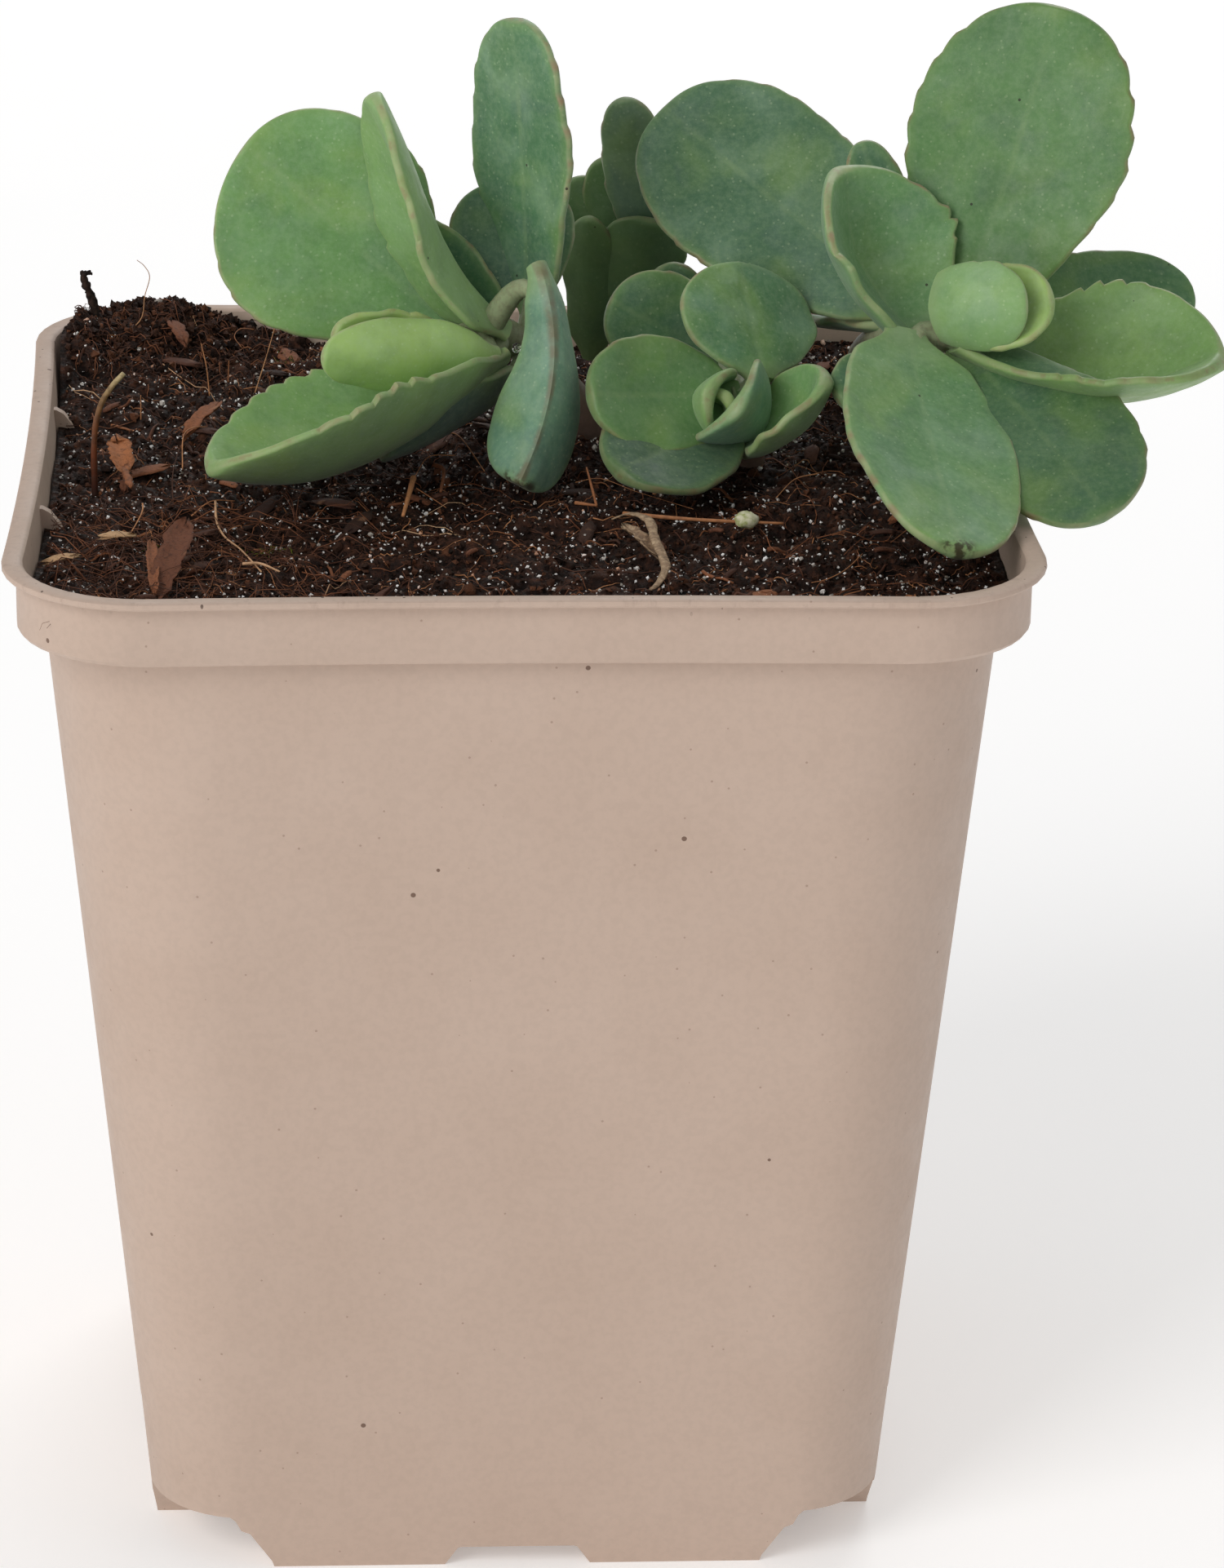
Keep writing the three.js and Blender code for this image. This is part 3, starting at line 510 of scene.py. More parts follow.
# %% Heaps and hollows
SOIL_LEVEL = 95.0
# x, y, radius and height or depth of each
HEAPS = [(-40, 40, 11, 3.9), (-30, 43, 7, 2.1), (-46, 28, 9, 2.2)]
HOLLOWS = [(-8, -2, 10, 0.9), (0, -13, 7, 0.6), (38, -30, 8, 1.0), (11, -13, 8, 0.5)]


def soil_height(x, y):
    wide = 0.28 * np.sin(0.55 * x + 1) * np.cos(0.48 * y) + 0.2 * np.sin(0.31 * x - 0.43 * y + 2)
    def mound(spot):
        return spot[3] * np.exp(-((x - spot[0]) ** 2 + (y - spot[1]) ** 2) / spot[2] ** 2)
    return SOIL_LEVEL + wide + sum(map(mound, HEAPS)) - sum(map(mound, HOLLOWS))


print("the heap rises to", round(float(soil_height(*HEAPS[0][:2])), 1), "mm")

# %% [markdown]
# The surface is a square grid, and the pot's mouth has rounded corners and sides that bow in. Cutting
# the grid to that outline would leave a jagged edge, so the grid's corners are drawn in to it instead.
# Lumps of three sizes push the surface up and down, and each point keeps how high it stands in them,
# because the finish paints shade into the pits, which makes them darker than the fibres that stick out.

# %% The grid of the surface
SOIL_HALF = 42.6
SOIL_CORNER = 9.9
SOIL_BOW = 0.6
GRID = 290
SUNK = 0.35


def into_pot(x, y, half=SOIL_HALF, corner=SOIL_CORNER, bow=SOIL_BOW):
    """Draws the corners of a square in to a rounded outline whose sides bow inwards."""
    flat = half - corner
    dx, dy = np.maximum(np.abs(x) - flat, 0), np.maximum(np.abs(y) - flat, 0)
    in_corner = (dx > 0) & (dy > 0)
    shrink = np.where(in_corner, np.maximum(dx, dy) / np.maximum(np.hypot(dx, dy), 1e-9), 1)
    new_x = np.where(in_corner, np.sign(x) * (flat + dx * shrink), x)
    new_y = np.where(in_corner, np.sign(y) * (flat + dy * shrink), y)
    bow_x = 1 - bow / half * np.clip(1 - (y / flat) ** 2, 0, 1)
    bow_y = 1 - bow / half * np.clip(1 - (x / flat) ** 2, 0, 1)
    return new_x * bow_x, new_y * bow_y


steps = np.linspace(-SOIL_HALF, SOIL_HALF, GRID)
square_x, square_y = np.meshgrid(steps, steps, indexing="ij")
grid_x, grid_y = into_pot(square_x, square_y)
flat_points = np.stack([grid_x, grid_y, np.zeros_like(grid_x)], -1).reshape(-1, 3)
clods = lumps(flat_points, 3.0)
pits = lumps(flat_points, 1.0, shift=17.0)
fine_pits = lumps(flat_points, 0.45, 1, shift=41.0)
relief = (0.85 * clods + 0.45 * pits + 0.22 * fine_pits).reshape(GRID, GRID)
to_edge = SOIL_HALF - np.maximum(np.abs(steps)[:, None], np.abs(steps)[None, :])
surface = soil_height(grid_x, grid_y) - SUNK + relief * (0.3 + 0.7 * smoothstep(0, 1.5, to_edge))
print("soil from", round(float(surface.min()), 1), "to", round(float(surface.max()), 1), "mm")

# %% [markdown]
# The top is joined to a skirt that goes down the wall to the pot's floor, so the soil is one closed
# body and shows through the drain holes, as it does in a real pot. A loose sheet on top would look the
# same from above, but it would have no thickness.

# %% The body of the soil
# half width, corner radius, bow and height of the skirt's rings
SKIRT = [(42.3, 9.6, 0.6, 93.0), (40.0, 13.2, 0.3, 90.9), (32.3, 7.8, 0.0, 6.9)]
LAST = GRID - 1
top = np.stack([grid_x, grid_y, surface], -1).reshape(-1, 3)
cells = [(i * GRID + j, (i + 1) * GRID + j, (i + 1) * GRID + j + 1, i * GRID + j + 1)
         for i in range(LAST) for j in range(LAST)]
rim = [(i, 0) for i in range(LAST)] + [(LAST, j) for j in range(LAST)]
rim += [(i, LAST) for i in range(LAST, 0, -1)] + [(0, j) for j in range(LAST, 0, -1)]
levels = [[i * GRID + j for i, j in rim]]
count = len(rim)
rim_x, rim_y = square_x.reshape(-1)[levels[0]], square_y.reshape(-1)[levels[0]]
wall_points = []
for half, corner, bow, height in SKIRT:
    share = half / SOIL_HALF
    x, y = into_pot(rim_x * share, rim_y * share, half, corner, bow)
    levels.append([len(top) + len(wall_points) * count + i for i in range(count)])
    wall_points.append(np.stack([x, y, np.full(count, height)], -1))
for upper, lower in zip(levels, levels[1:]):
    cells += [(upper[i], lower[i], lower[(i + 1) % count], upper[(i + 1) % count]) for i in range(count)]
middle = len(top) + len(SKIRT) * count
cells += [(middle, levels[-1][(i + 1) % count], levels[-1][i]) for i in range(count)]
soil = Shape()
in_relief = np.concatenate([relief.reshape(-1), np.zeros(len(SKIRT) * count + 1)])
soil.add(np.concatenate([top, *wall_points, [[0, 0, SKIRT[-1][3]]]]), cells, high=in_relief)
print("the soil has", soil.count, "points")

# %% [markdown]
# ## Peat
# Peat is nearly black when moist, with reddish brown fibres showing in it. One brown would look like
# painted plaster. The finish mixes four browns by a fine noise, darkens wide patches, and lets moist
# specks shine a little. The soil and the crumbs share it: the soil adds painted shade in its pits, and
# reddish tops.

# %% Finish of the peat
def peat(name):
    earth = Finish(name, 0.85, 0.16)
    earth.paint(earth.steps(earth.grain(0.9, 5, 0.7), (0.3, shade(16, 9, 7)), (0.48, shade(40, 24, 18)),
                            (0.6, shade(70, 43, 31)), (0.75, shade(104, 66, 47))))
    earth.layer(earth.ramp(earth.grain(7, 2), 0.4, 0.7, 0.0, 0.45), shade(32, 20, 15))
    earth.fill({"Roughness": earth.ramp(earth.grain(0.6, 2), 0.35, 0.6, 0.95, 0.55)})
    earth.relief(earth.grain(0.35, 4, 0.7), 0.25, 1.0)
    return earth


moist_peat = peat("moist peat")
high = moist_peat.value("high")
# painted shade: the pits of the relief are darkened nearly to black
moist_peat.layer(moist_peat.ramp(high, -0.6, 0.1, 0.8, 0.0), shade(9, 5, 4))
moist_peat.layer(moist_peat.ramp(high, 0.3, 1.0, 0.0, 0.45), shade(104, 66, 48))
make_piece(soil, "peat_soil", moist_peat, ["growing_medium"])

# %% [markdown]
# ## Places on the soil
# Thousands of bits make the ground read as loose peat: dark crumbs, clear grains of sand that catch
# the light, and thin fibres. A particle system could scatter them, but an exported model loses it. So
# the seeded generator gives the places, and the grid of the surface says how high the ground is there.

# %% Scattering on the soil
def scatter(number, margin=0.6):
    reach = SOIL_HALF - margin
    return into_pot(chance.uniform(-reach, reach, number), chance.uniform(-reach, reach, number))


def ground(x, y):
    """Height of the finished surface at any place, read from the grid."""
    i = np.clip(np.rint((np.asarray(x) / SOIL_HALF + 1) / 2 * LAST).astype(int), 0, LAST)
    j = np.clip(np.rint((np.asarray(y) / SOIL_HALF + 1) / 2 * LAST).astype(int), 0, LAST)
    return surface[i, j]


print("the ground in the middle is", round(float(ground(0, 0)), 1), "mm high")

# %% [markdown]
# ## Crumbs of peat
# A crumb is a lump with no clear shape. A round ball would look like a bead, so each crumb is a ball of
# 20 faces or a grain of 8, with its points moved in and out, stretched and turned by chance. Larger
# ones are rare, which is what the power in the size does. Each has its own tone from dark to pale.

# %% Crumbs
GOLDEN = (1 + 5 ** 0.5) / 2
BALL = (unit(np.array([(-1, GOLDEN, 0), (1, GOLDEN, 0), (-1, -GOLDEN, 0), (1, -GOLDEN, 0),
                       (0, -1, GOLDEN), (0, 1, GOLDEN), (0, -1, -GOLDEN), (0, 1, -GOLDEN),
                       (GOLDEN, 0, -1), (GOLDEN, 0, 1), (-GOLDEN, 0, -1), (-GOLDEN, 0, 1)], float)),
        [(0, 11, 5), (0, 5, 1), (0, 1, 7), (0, 7, 10), (0, 10, 11), (1, 5, 9), (5, 11, 4), (11, 10, 2),
         (10, 7, 6), (7, 1, 8), (3, 9, 4), (3, 4, 2), (3, 2, 6), (3, 6, 8), (3, 8, 9), (4, 9, 5),
         (2, 4, 11), (6, 2, 10), (8, 6, 7), (9, 8, 1)])
GRAIN = (unit(np.array([(1, 0.1, 0), (-1, 0, 0.1), (0, 1, 0.1), (0.1, -1, 0), (0, 0, 1),
                        (0, 0.1, -1)], float)),
         [(0, 2, 4), (2, 1, 4), (1, 3, 4), (3, 0, 4), (2, 0, 5), (1, 2, 5), (3, 1, 5), (0, 3, 5)])


def random_turn():
    axis = unit(chance.normal(size=3))
    return np.array(Matrix.Rotation(chance.uniform(0, FULL_TURN), 3, Vector(axis)))


def sprinkle(shape, places, small, large, bit, proud):
    """Bits of random size and turn; proud is how far one stands out, as a share of its size."""
    points, faces = bit
    for x, y in zip(*places):
        size = small + (large - small) * chance.random() ** 2.5
        stretch = size * chance.uniform(0.7, 1.3, 3)
        rough = points * chance.uniform(0.75, 1.25, (len(points), 1))
        body = (rough * stretch) @ random_turn().T
        shape.add(body + [x, y, ground(x, y) + size * proud], faces, tone=chance.random())


HEAP_CRUMBS = 3200
crumbs = Shape()
sprinkle(crumbs, scatter(650), 0.2, 0.6, BALL, 0.1)
sprinkle(crumbs, scatter(13500), 0.12, 0.36, GRAIN, 0.5)
# more of them on the heap, drawn round its middle and kept on the soil
heap_x = np.clip(chance.normal(-35, 7, HEAP_CRUMBS), -41.8, -14)
heap_y = np.clip(chance.normal(38, 4.5, HEAP_CRUMBS), 20, 41.8)
sprinkle(crumbs, into_pot(heap_x, heap_y), 0.12, 0.5, GRAIN, 0.8)
crumb_peat = peat("peat crumbs")
own_tone = crumb_peat.steps(crumb_peat.value("tone"), (0.0, shade(16, 10, 8)), (0.5, shade(44, 28, 21)),
                            (0.85, shade(86, 54, 38)), (1.0, shade(132, 84, 58)))
crumb_peat.layer(0.6, own_tone)
make_piece(crumbs, "peat_crumbs", crumb_peat, sharp_angle=50)

# %% [markdown]
# ## Sand
# Potting soil holds quartz sand: clear or white grains of 0.1 to 0.6 mm that glint, with a few peach
# and grey ones. They are made like the crumbs, but smooth and shiny, and stand on top of the soil. The
# largest are listed one by one, because the eye finds them again at the same spot.

# %% Sand grains
# x, y, radius and tone of grains large enough to tell apart
PEBBLES = [(-40.1, 34.7, 0.48, 0.95), (-35.1, 31.8, 0.32, 0.15), (-33.3, 40.2, 0.5, 0.1),
           (-33.6, 29.5, 0.28, 0.97), (16.1, -15, 0.27, 0.7), (18.4, -11.3, 0.25, 0.75),
           (18.6, -14.6, 0.25, 0.6), (24, -26.6, 0.27, 0.8), (36.9, -30.9, 0.27, 0.7),
           (36.2, -26.9, 0.25, 0.8)]
sand = Shape()
sprinkle(sand, scatter(7400), 0.07, 0.2, GRAIN, 1.2)
sprinkle(sand, scatter(380), 0.13, 0.29, BALL, 1.0)
for x, y, radius, tone in PEBBLES:
    pebble = BALL[0] * radius * chance.uniform(0.85, 1.15, (12, 1))
    sand.add(pebble + [x, y, ground(x, y) + radius * 0.6], BALL[1], tone=tone)
quartz = Finish("clear sand", 0.16, 0.8)
quartz.paint(quartz.steps(quartz.value("tone"), (0.0, shade(112, 100, 90)), (0.25, shade(180, 172, 163)),
                          (0.5, shade(236, 233, 229)), (0.88, shade(252, 251, 250)),
                          (0.95, shade(232, 182, 152)), (1.0, shade(176, 126, 96))))
quartz.relief(quartz.grain(0.15, 2), 0.05, 0.6)
make_piece(sand, "sand_grains", quartz, sharp_angle=20)

# %% [markdown]
# ## Tubes along a line
# Fibres, straws, stems and leaf stalks are all tubes. Blender's curves have a bevel that makes tubes,
# but its points can't carry a tone. Here a smooth line is drawn through a few places, and a ring is
# set round each of its points, turned as little as possible from the one before.

# %% Smooth lines and tubes
def smooth_line(places, steps):
    """Catmull-Rom line through the places."""
    p = np.asarray(places, float)
    p = np.concatenate([[2 * p[0] - p[1]], p, [2 * p[-1] - p[-2]]])
    t = np.linspace(0, len(p) - 3, steps + 1)
    k = np.minimum(t.astype(int), len(p) - 4)
    s = (t - k)[:, None]
    a, b, c, d = p[k], p[k + 1], p[k + 2], p[k + 3]
    square, cube = 2 * a - 5 * b + 4 * c - d, 3 * b - a - 3 * c + d
    return 0.5 * (2 * b + (c - a) * s + square * s ** 2 + cube * s ** 3)


def tube(line, radii, sides, flatten=1.0, twist=0.0):
    """Rings round a line; flatten squeezes the section and twist turns it along the line."""
    line = np.asarray(line, float)
    forward = unit(np.gradient(line, axis=0))
    normals = [unit(np.cross(forward[0], [0.3, 0.2, 1.0]))]
    for way in forward[1:]:
        normals.append(unit(normals[-1] - way * normals[-1].dot(way)))
    normals = np.array(normals)
    binormals = np.cross(forward, normals)
    angle = np.arange(sides) * FULL_TURN / sides + twist * np.linspace(0, 1, len(line))[:, None]
    radii = np.broadcast_to(radii, len(line))[:, None, None]
    ring = np.cos(angle)[..., None] * normals[:, None]
    ring = ring + flatten * np.sin(angle)[..., None] * binormals[:, None]
    return line[:, None] + radii * ring


print("a straight tube of 3 points has rings of shape", tube([(0, 0, 0), (1, 0, 0), (2, 0, 0)], 0.1, 4).shape)

# %% [markdown]
# ## Fibres
# Peat is full of fibres of bark, moss and root, from dark red-brown to straw, that lie in all
# directions. Hair would be the quick way, but the export drops it. Each fibre here is a thin tapering
# tube along a line that wanders over the ground. There are more of them at the front left and on the
# heap, and each kind has its own length, thickness and range of tones.

# %% Fibres
FIBRE_STEPS = 7
OFF_GROUND = 0.15
WALL_GAP = 1.2
# number, length, radius, bend at each step, lift, darkest and palest tone, where
FIBRES = [(1700, 2.4, 0.055, 0.38, 0.5, (0, 0.9), "all over"),
          (190, 9, 0.05, 0.25, 0.8, (0, 1), "all over"),
          (70, 3.0, 0.2, 0.15, 0.2, (0, 0.8), "all over"),
          (270, 8, 0.05, 0.2, 2.2, (0.15, 0.75), "front left"),
          (360, 2.6, 0.055, 0.3, 0.9, (0.05, 0.7), "on the heap")]
# lowest and highest x, then y
REGIONS = {"front left": ((-40, -18), (-40, -12)), "on the heap": ((-41, -20), (27, 41))}


def crooked(x, y, heading, length, bend, lift, steps):
    """A line on the ground that wanders, rises a little in its middle and turns back at the wall."""
    places = []
    for step in range(steps + 1):
        places.append((x, y, ground(x, y) + OFF_GROUND + lift * math.sin(math.pi * step / steps)))
        x += math.cos(heading) * length / steps
        y += math.sin(heading) * length / steps
        heading += chance.normal(0, bend)
        if max(abs(x), abs(y)) > SOIL_HALF - WALL_GAP:
            heading += math.pi
            x, y = np.clip([x, y], WALL_GAP - SOIL_HALF, SOIL_HALF - WALL_GAP)
    return np.array(places)


fibres = Shape()
for number, length, radius, bend, lift, tones, where in FIBRES:
    xs, ys = scatter(number, 2)
    if where in REGIONS:
        xs, ys = [chance.uniform(low, high, number) for low, high in REGIONS[where]]
    for x, y in zip(xs, ys):
        line = crooked(x, y, chance.uniform(0, FULL_TURN), length * chance.uniform(0.6, 1.4), bend,
                       lift * chance.random(), FIBRE_STEPS)
        taper = radius * chance.uniform(0.7, 1.4) * (1 - 0.6 * np.linspace(0, 1, FIBRE_STEPS + 1))
        fibres.add(*skin(tube(line, taper, 4)), tone=chance.uniform(*tones))
straw = Finish("dry root and straw", 0.7, 0.3)
straw.paint(straw.steps(straw.value("tone"), (0.0, shade(44, 26, 18)), (0.5, shade(94, 56, 38)),
                        (0.75, shade(146, 90, 56)), (0.9, shade(190, 132, 88)), (1.0, shade(226, 186, 146))))
straw.layer(straw.ramp(straw.grain(0.8, 3), 0.4, 0.7, 0.0, 0.4), shade(70, 42, 28))
straw.relief(straw.grain(0.3, 2), 0.06, 0.7)
make_piece(fibres, "peat_fibres", straw)

# %% [markdown]
# ## Chips of bark
# Chips lie flat: short strips torn along the grain, with ragged sides, blunt ends and a slight arch. A
# flat plane cut to an outline would have no edge to catch the light, so each chip is a thin closed
# ring of points carried along its length. Its two sides are torn by different noise.

# %% Bark chips
def strip(place, heading, length, width, thick, tilt, arch, rows=9, ragged=0.25, roll=0.0, seed=0.0):
    """A thin torn strip; heading and tilt turn it, arch and roll bend it along and across."""
    t = np.linspace(-1, 1, rows)
    narrow = np.maximum(1 - np.abs(t) ** 5, 0.03) ** 0.6

    def torn(side):
        coarse = lumps(np.stack([t * 2.5, t * 0 + side * 9, t * 0 + seed], -1), 1.0)
        fine = lumps(np.stack([t * 11, t * 0 + side * 9, t * 0 + seed], -1), 1.0)
        return 1 + ragged * coarse + 0.5 * ragged * fine

    jags = {-1: torn(-1), 1: torn(1)}
    upper, lower = [], []
    for a in np.linspace(-1, 1, 7):
        y = a * width / 2 * narrow * jags[-1 if a < 0 else 1]
        x = t * length / 2 + ragged * width * 1.1 * np.sin(a * 6 + seed) * np.abs(t) ** 3
        z = arch * (1 - t * t) + roll * a * a * width
        edge = thick / 2 * math.sqrt(max(0.0, 1 - abs(a) ** 4)) + 0.02
        upper.append(np.stack([x, y, z + edge], -1))
        lower.append(np.stack([x, y, z - edge], -1))
    ring = np.stack(lower + upper[::-1], 1)
    pose = Matrix.Rotation(heading, 3, "Z") @ Matrix.Rotation(-tilt, 3, "Y")
    return skin(ring @ np.array(pose).T + np.asarray(place))


# place, heading, length, width, tilt and seed of the two pale chips at the front left
PALE_CHIPS = [((-40.2, -27.6, 96.1), 0.2, 2.6, 1.3, 0.15, 21.0),
              ((-35.5, -22.6, 96.5), 0.5, 2.8, 1.5, -0.1, 27.0)]
chips = Shape()
for x, y in zip(*scatter(90, 3)):
    length = 1.5 + 4 * chance.random() ** 2
    heading, width = chance.uniform(0, FULL_TURN), length * chance.uniform(0.25, 0.5)
    tilt, seed = chance.normal(0, 0.25), chance.uniform(0, 50)
    chip = strip((x, y, ground(x, y) + 0.3), heading, length, width, 0.35, tilt, 0.15, seed=seed)
    chips.add(*chip, tone=0.85 * chance.random())
for place, heading, length, width, tilt, seed in PALE_CHIPS:
    chips.add(*strip(place, heading, length, width, 0.3, tilt, 0.2, 15, 0.4, seed=seed), tone=1.0)
bark = Finish("dry bark", 0.75, 0.3)
bark.paint(bark.steps(bark.value("tone"), (0.0, shade(46, 29, 22)), (0.5, shade(88, 54, 40)),
                      (0.75, shade(126, 78, 54)), (0.9, shade(166, 104, 64)), (1.0, shade(198, 160, 120))))
grainy = bark.grain(0.5, 4, 0.65, 1.5)
bark.layer(bark.ramp(grainy, 0.45, 0.7, 0.0, 0.55), shade(44, 26, 18))
bark.layer(bark.ramp(bark.grain(1.4, 3), 0.6, 0.75, 0.0, 0.3), shade(186, 140, 104))
bark.relief(grainy, 0.15, 0.8)
make_piece(chips, "bark_chips", bark)

# %% [markdown]
# ## How a leaf is shaped
# A sedum leaf is a thick, spoon-shaped blade, folded a little along its midrib and often curled up at
# its margins. It could be sculpted, but then each leaf is a job of its own. Here one formula makes all
# of them: a bent midrib from root to tip, an outline that broadens and closes round the tip, and a
# section that is creased and curled.
#
# Each leaf is a row of values, in millimetres and degrees, and the same rows make the packed part.
# root and tip are its ends and face is the way its upper side looks. width is its greatest width,
# widest is where that is, from 0 at the root to 1 at the tip, foot the share of it left at the root,
# neck how much the first stretch is drawn in, swell how fast it broadens and blunt how square the tip
# is. crease and curl fold each half up, at the root and at the tip, and softness rounds the fold. rise
# and side bend the midrib, lean makes one half wider, wave lifts the margin and teeth is how deep its
# teeth are.

# %% Midrib and outline of a leaf
# deep, among these values, is painted shade that darkens a leaf lying in the shadow of others
LEAF = {"width": 8, "widest": 0.6, "foot": 0.3, "neck": 0.5, "swell": 1.3, "blunt": 2.2, "crease": (10, 5),
        "curl": (15, 8), "rise": (0, 0), "side": (0, 0), "lean": 0, "wave": 0.2, "teeth": 0.2,
        "softness": 0.45, "age": 0.5, "bloom": 0.5, "deep": 0.15, "keel": 0.0, "scar": 0.0}
NECK_LENGTH = 0.16


def outline_share(leaf, u):
    """Share of the full half width at a place u along the leaf."""
    neck = mix(leaf["neck"], 1, smoothstep(0, NECK_LENGTH, u))
    young = np.sin(math.pi / 2 * np.clip(u / leaf["widest"], 0, 1)) ** leaf["swell"]
    end = np.clip((u - leaf["widest"]) / (1 - leaf["widest"]), 0, 1)
    closing = np.maximum(1 - end ** leaf["blunt"], 0) ** (1 / leaf["blunt"])
    return np.where(u < leaf["widest"], neck * mix(leaf["foot"], 1, young), closing)


def midrib(leaf, u):
    """Points of the midrib, the way the blade faces there, the way across it, and the leaf's length."""
    root, tip = np.array(leaf["root"], float), np.array(leaf["tip"], float)
    length = np.linalg.norm(tip - root)
    along = (tip - root) / length
    up = np.array(leaf["face"], float)
    up = unit(up - along * up.dot(along))
    across = np.cross(up, along)
    early, late = 3 * u * (1 - u) ** 2, 3 * u * u * (1 - u)
    early_slope, late_slope = 3 * (1 - u) * (1 - 3 * u), 3 * u * (2 - 3 * u)
    rise, shift = leaf["rise"], leaf["side"]
    offset = (rise[0] * early + rise[1] * late)[..., None] * up
    offset = offset + (shift[0] * early + shift[1] * late)[..., None] * across
    slope = (rise[0] * early_slope + rise[1] * late_slope)[..., None] * up
    slope = slope + (shift[0] * early_slope + shift[1] * late_slope)[..., None] * across
    forward = unit(along * length + slope)
    normal = unit(up - forward * (forward @ up)[..., None])
    return root + along * (length * u)[..., None] + offset, normal, np.cross(normal, forward), length


print("a leaf is widest at", LEAF["widest"], "of its length")

# %% [markdown]
# ## Teeth
# The margins of this sedum carry blunt, shallow teeth about three millimetres apart: each bulges
# slowly towards the tip and steps back in. A bump in the finish wouldn't show in the outline, so the
# margin itself is drawn in between the teeth. No two teeth are alike, and the foot and the tip of the
# leaf have none.

# %% Teeth of a margin
TOOTH_PITCH = 3.0
TOOTH_SLOPE = 0.78


def tooth(leaf, u, way, length, seed):
    """How far the margin is drawn in, in mm, and how near a tooth's tip a place is, 0 to 1."""
    turn = u * length / TOOTH_PITCH + seed * 7.3 + way * 0.23
    number = np.floor(turn)
    phase = turn - number
    bulge = (1 - phase / TOOTH_SLOPE) ** 1.5
    step_in = np.where(phase < TOOTH_SLOPE, bulge, smoothstep(TOOTH_SLOPE, 1.0, phase))
    size = 0.35 + 0.65 * np.abs(np.sin(number * 12.9898 + seed * 78.2 + way))
    within = smoothstep(0.22, 0.42, u) * smoothstep(1.0, 0.9, u)
    return leaf["teeth"] * size * step_in * within, size * within * np.exp(-((phase - 0.8) / 0.16) ** 2)


print("a leaf 24 mm long has", int(24 * 0.7 / TOOTH_PITCH), "teeth on each side")

# %% [markdown]
# ## The middle surface
# Across the leaf, each half first tilts up by the crease and then curls along an arc, so its width stays
# true however far it curls. A sharp fold at the midrib would shade like folded paper, so the fold is
# rounded. A slow wave moves the margin up and down as well.

# %% The surface of a leaf
MARGIN_SHIFT = 1.9


def leaf_surface(leaf, u, v, seed=0.0):
    """Points on the middle surface, with v from -1 to 1 across it, and the way the upper side looks."""
    point, normal, sideways, length = midrib(leaf, u)
    way = np.where(v < 0, -1.0, 1.0)
    share = outline_share(leaf, u)
    half = leaf["width"] / 2 * share * (1 + leaf["lean"] * way)
    half = half - tooth(leaf, u, way, length, seed)[0] * smoothstep(0.6, 1.0, np.abs(v)) * share
    distance = np.abs(v) * half
    crease = np.radians(mix(leaf["crease"][0], leaf["crease"][1], u))
    bend = np.radians(mix(leaf["curl"][0], leaf["curl"][1], u)) / (leaf["width"] / 2)
    softened = np.sqrt(distance ** 2 + leaf["softness"] ** 2)
    slope = crease + bend * distance
    reach = (np.sin(slope) - np.sin(crease)) / bend
    rounding = (distance - softened + leaf["softness"]) * np.sin(crease)
    lift = (np.cos(crease) - np.cos(slope)) / bend - rounding
    tilt = slope * (distance / softened)
    face = normal * np.cos(tilt)[..., None] - sideways * (way * np.sin(tilt))[..., None]
    turn = 5 * math.pi * u + np.where(way < 0, MARGIN_SHIFT, 0)
    wave = leaf["wave"] * np.abs(v) ** 3 * np.sin(turn) * np.minimum(1, share * 1.2)
    point = point + sideways * (way * reach)[..., None] + normal * lift[..., None] + face * wave[..., None]
    return point, face


print("the wave of one margin is", MARGIN_SHIFT, "radians ahead of the other's")

# %% [markdown]
# ## The rounded margin
# The blade is thickest along its middle and about 0.7 mm at its margin, which is round. Thickening a
# sheet with a modifier would leave a square edge. Instead each row of the mesh is a closed ring: over
# the upper side, round one margin, back along the underside and round the other margin.

# %% Rings round the blade
BLADE_EDGE = 0.7
INNER_COLUMNS = 19
MARGIN_TURNS = np.radians([22.5, 45, 67.5])


def ring_places(edge_share):
    """Places across the leaf, -1 to 1, and the share of the half thickness there, for a whole ring."""
    inner = np.linspace(-1, 1, INNER_COLUMNS)[None, :] * edge_share[:, None]
    def margin(turns):
        return edge_share[:, None] + (1 - edge_share[:, None]) * np.sin(turns)[None, :]
    out, back = margin(MARGIN_TURNS), margin(MARGIN_TURNS[::-1])
    ones = np.ones((len(edge_share), 1))
    flat = np.broadcast_to(1.0, inner.shape)
    dip_out = np.broadcast_to(np.cos(MARGIN_TURNS), out.shape)
    dip_back = dip_out[:, ::-1]
    v = np.concatenate([-ones, -back, inner, out, ones, back, inner[:, ::-1], -out], 1)
    thick = np.concatenate([0 * ones, dip_back, flat, dip_out, 0 * ones, -dip_back, -flat, -dip_out], 1)
    return v, thick


print("a ring round the blade has", ring_places(np.array([0.9]))[0].shape[1], "points")

# %% [markdown]
# ## One leaf
# The rows stand closer together near the tip, where the outline turns fastest. A shallow groove runs
# along the midrib and slow dents keep the faces from looking moulded. Each point keeps how far along
# it is, how far from the rib and from the margin, how near a tooth, and which side it is on: the finish
# needs them all, and no unwrapping could give them.

# %% One leaf
ROW_PITCH = 0.42
FEWEST_ROWS, MOST_ROWS = 26, 76
LOWER_ROWS = 0.45
LAST_ROW = 0.9995
MIDDLE_THIN, MIDDLE_PER_WIDTH, MIDDLE_THICK = 0.9, 0.06, 1.7
GROOVE_WIDTH, GROOVE_DEPTH = 0.5, 0.10
DENT_WIDTH, DENT_DEPTH = 5.0, 0.14
TIP_ROUNDING = 0.4
PLAN_VALUES = ("age", "bloom", "deep", "keel", "scar")


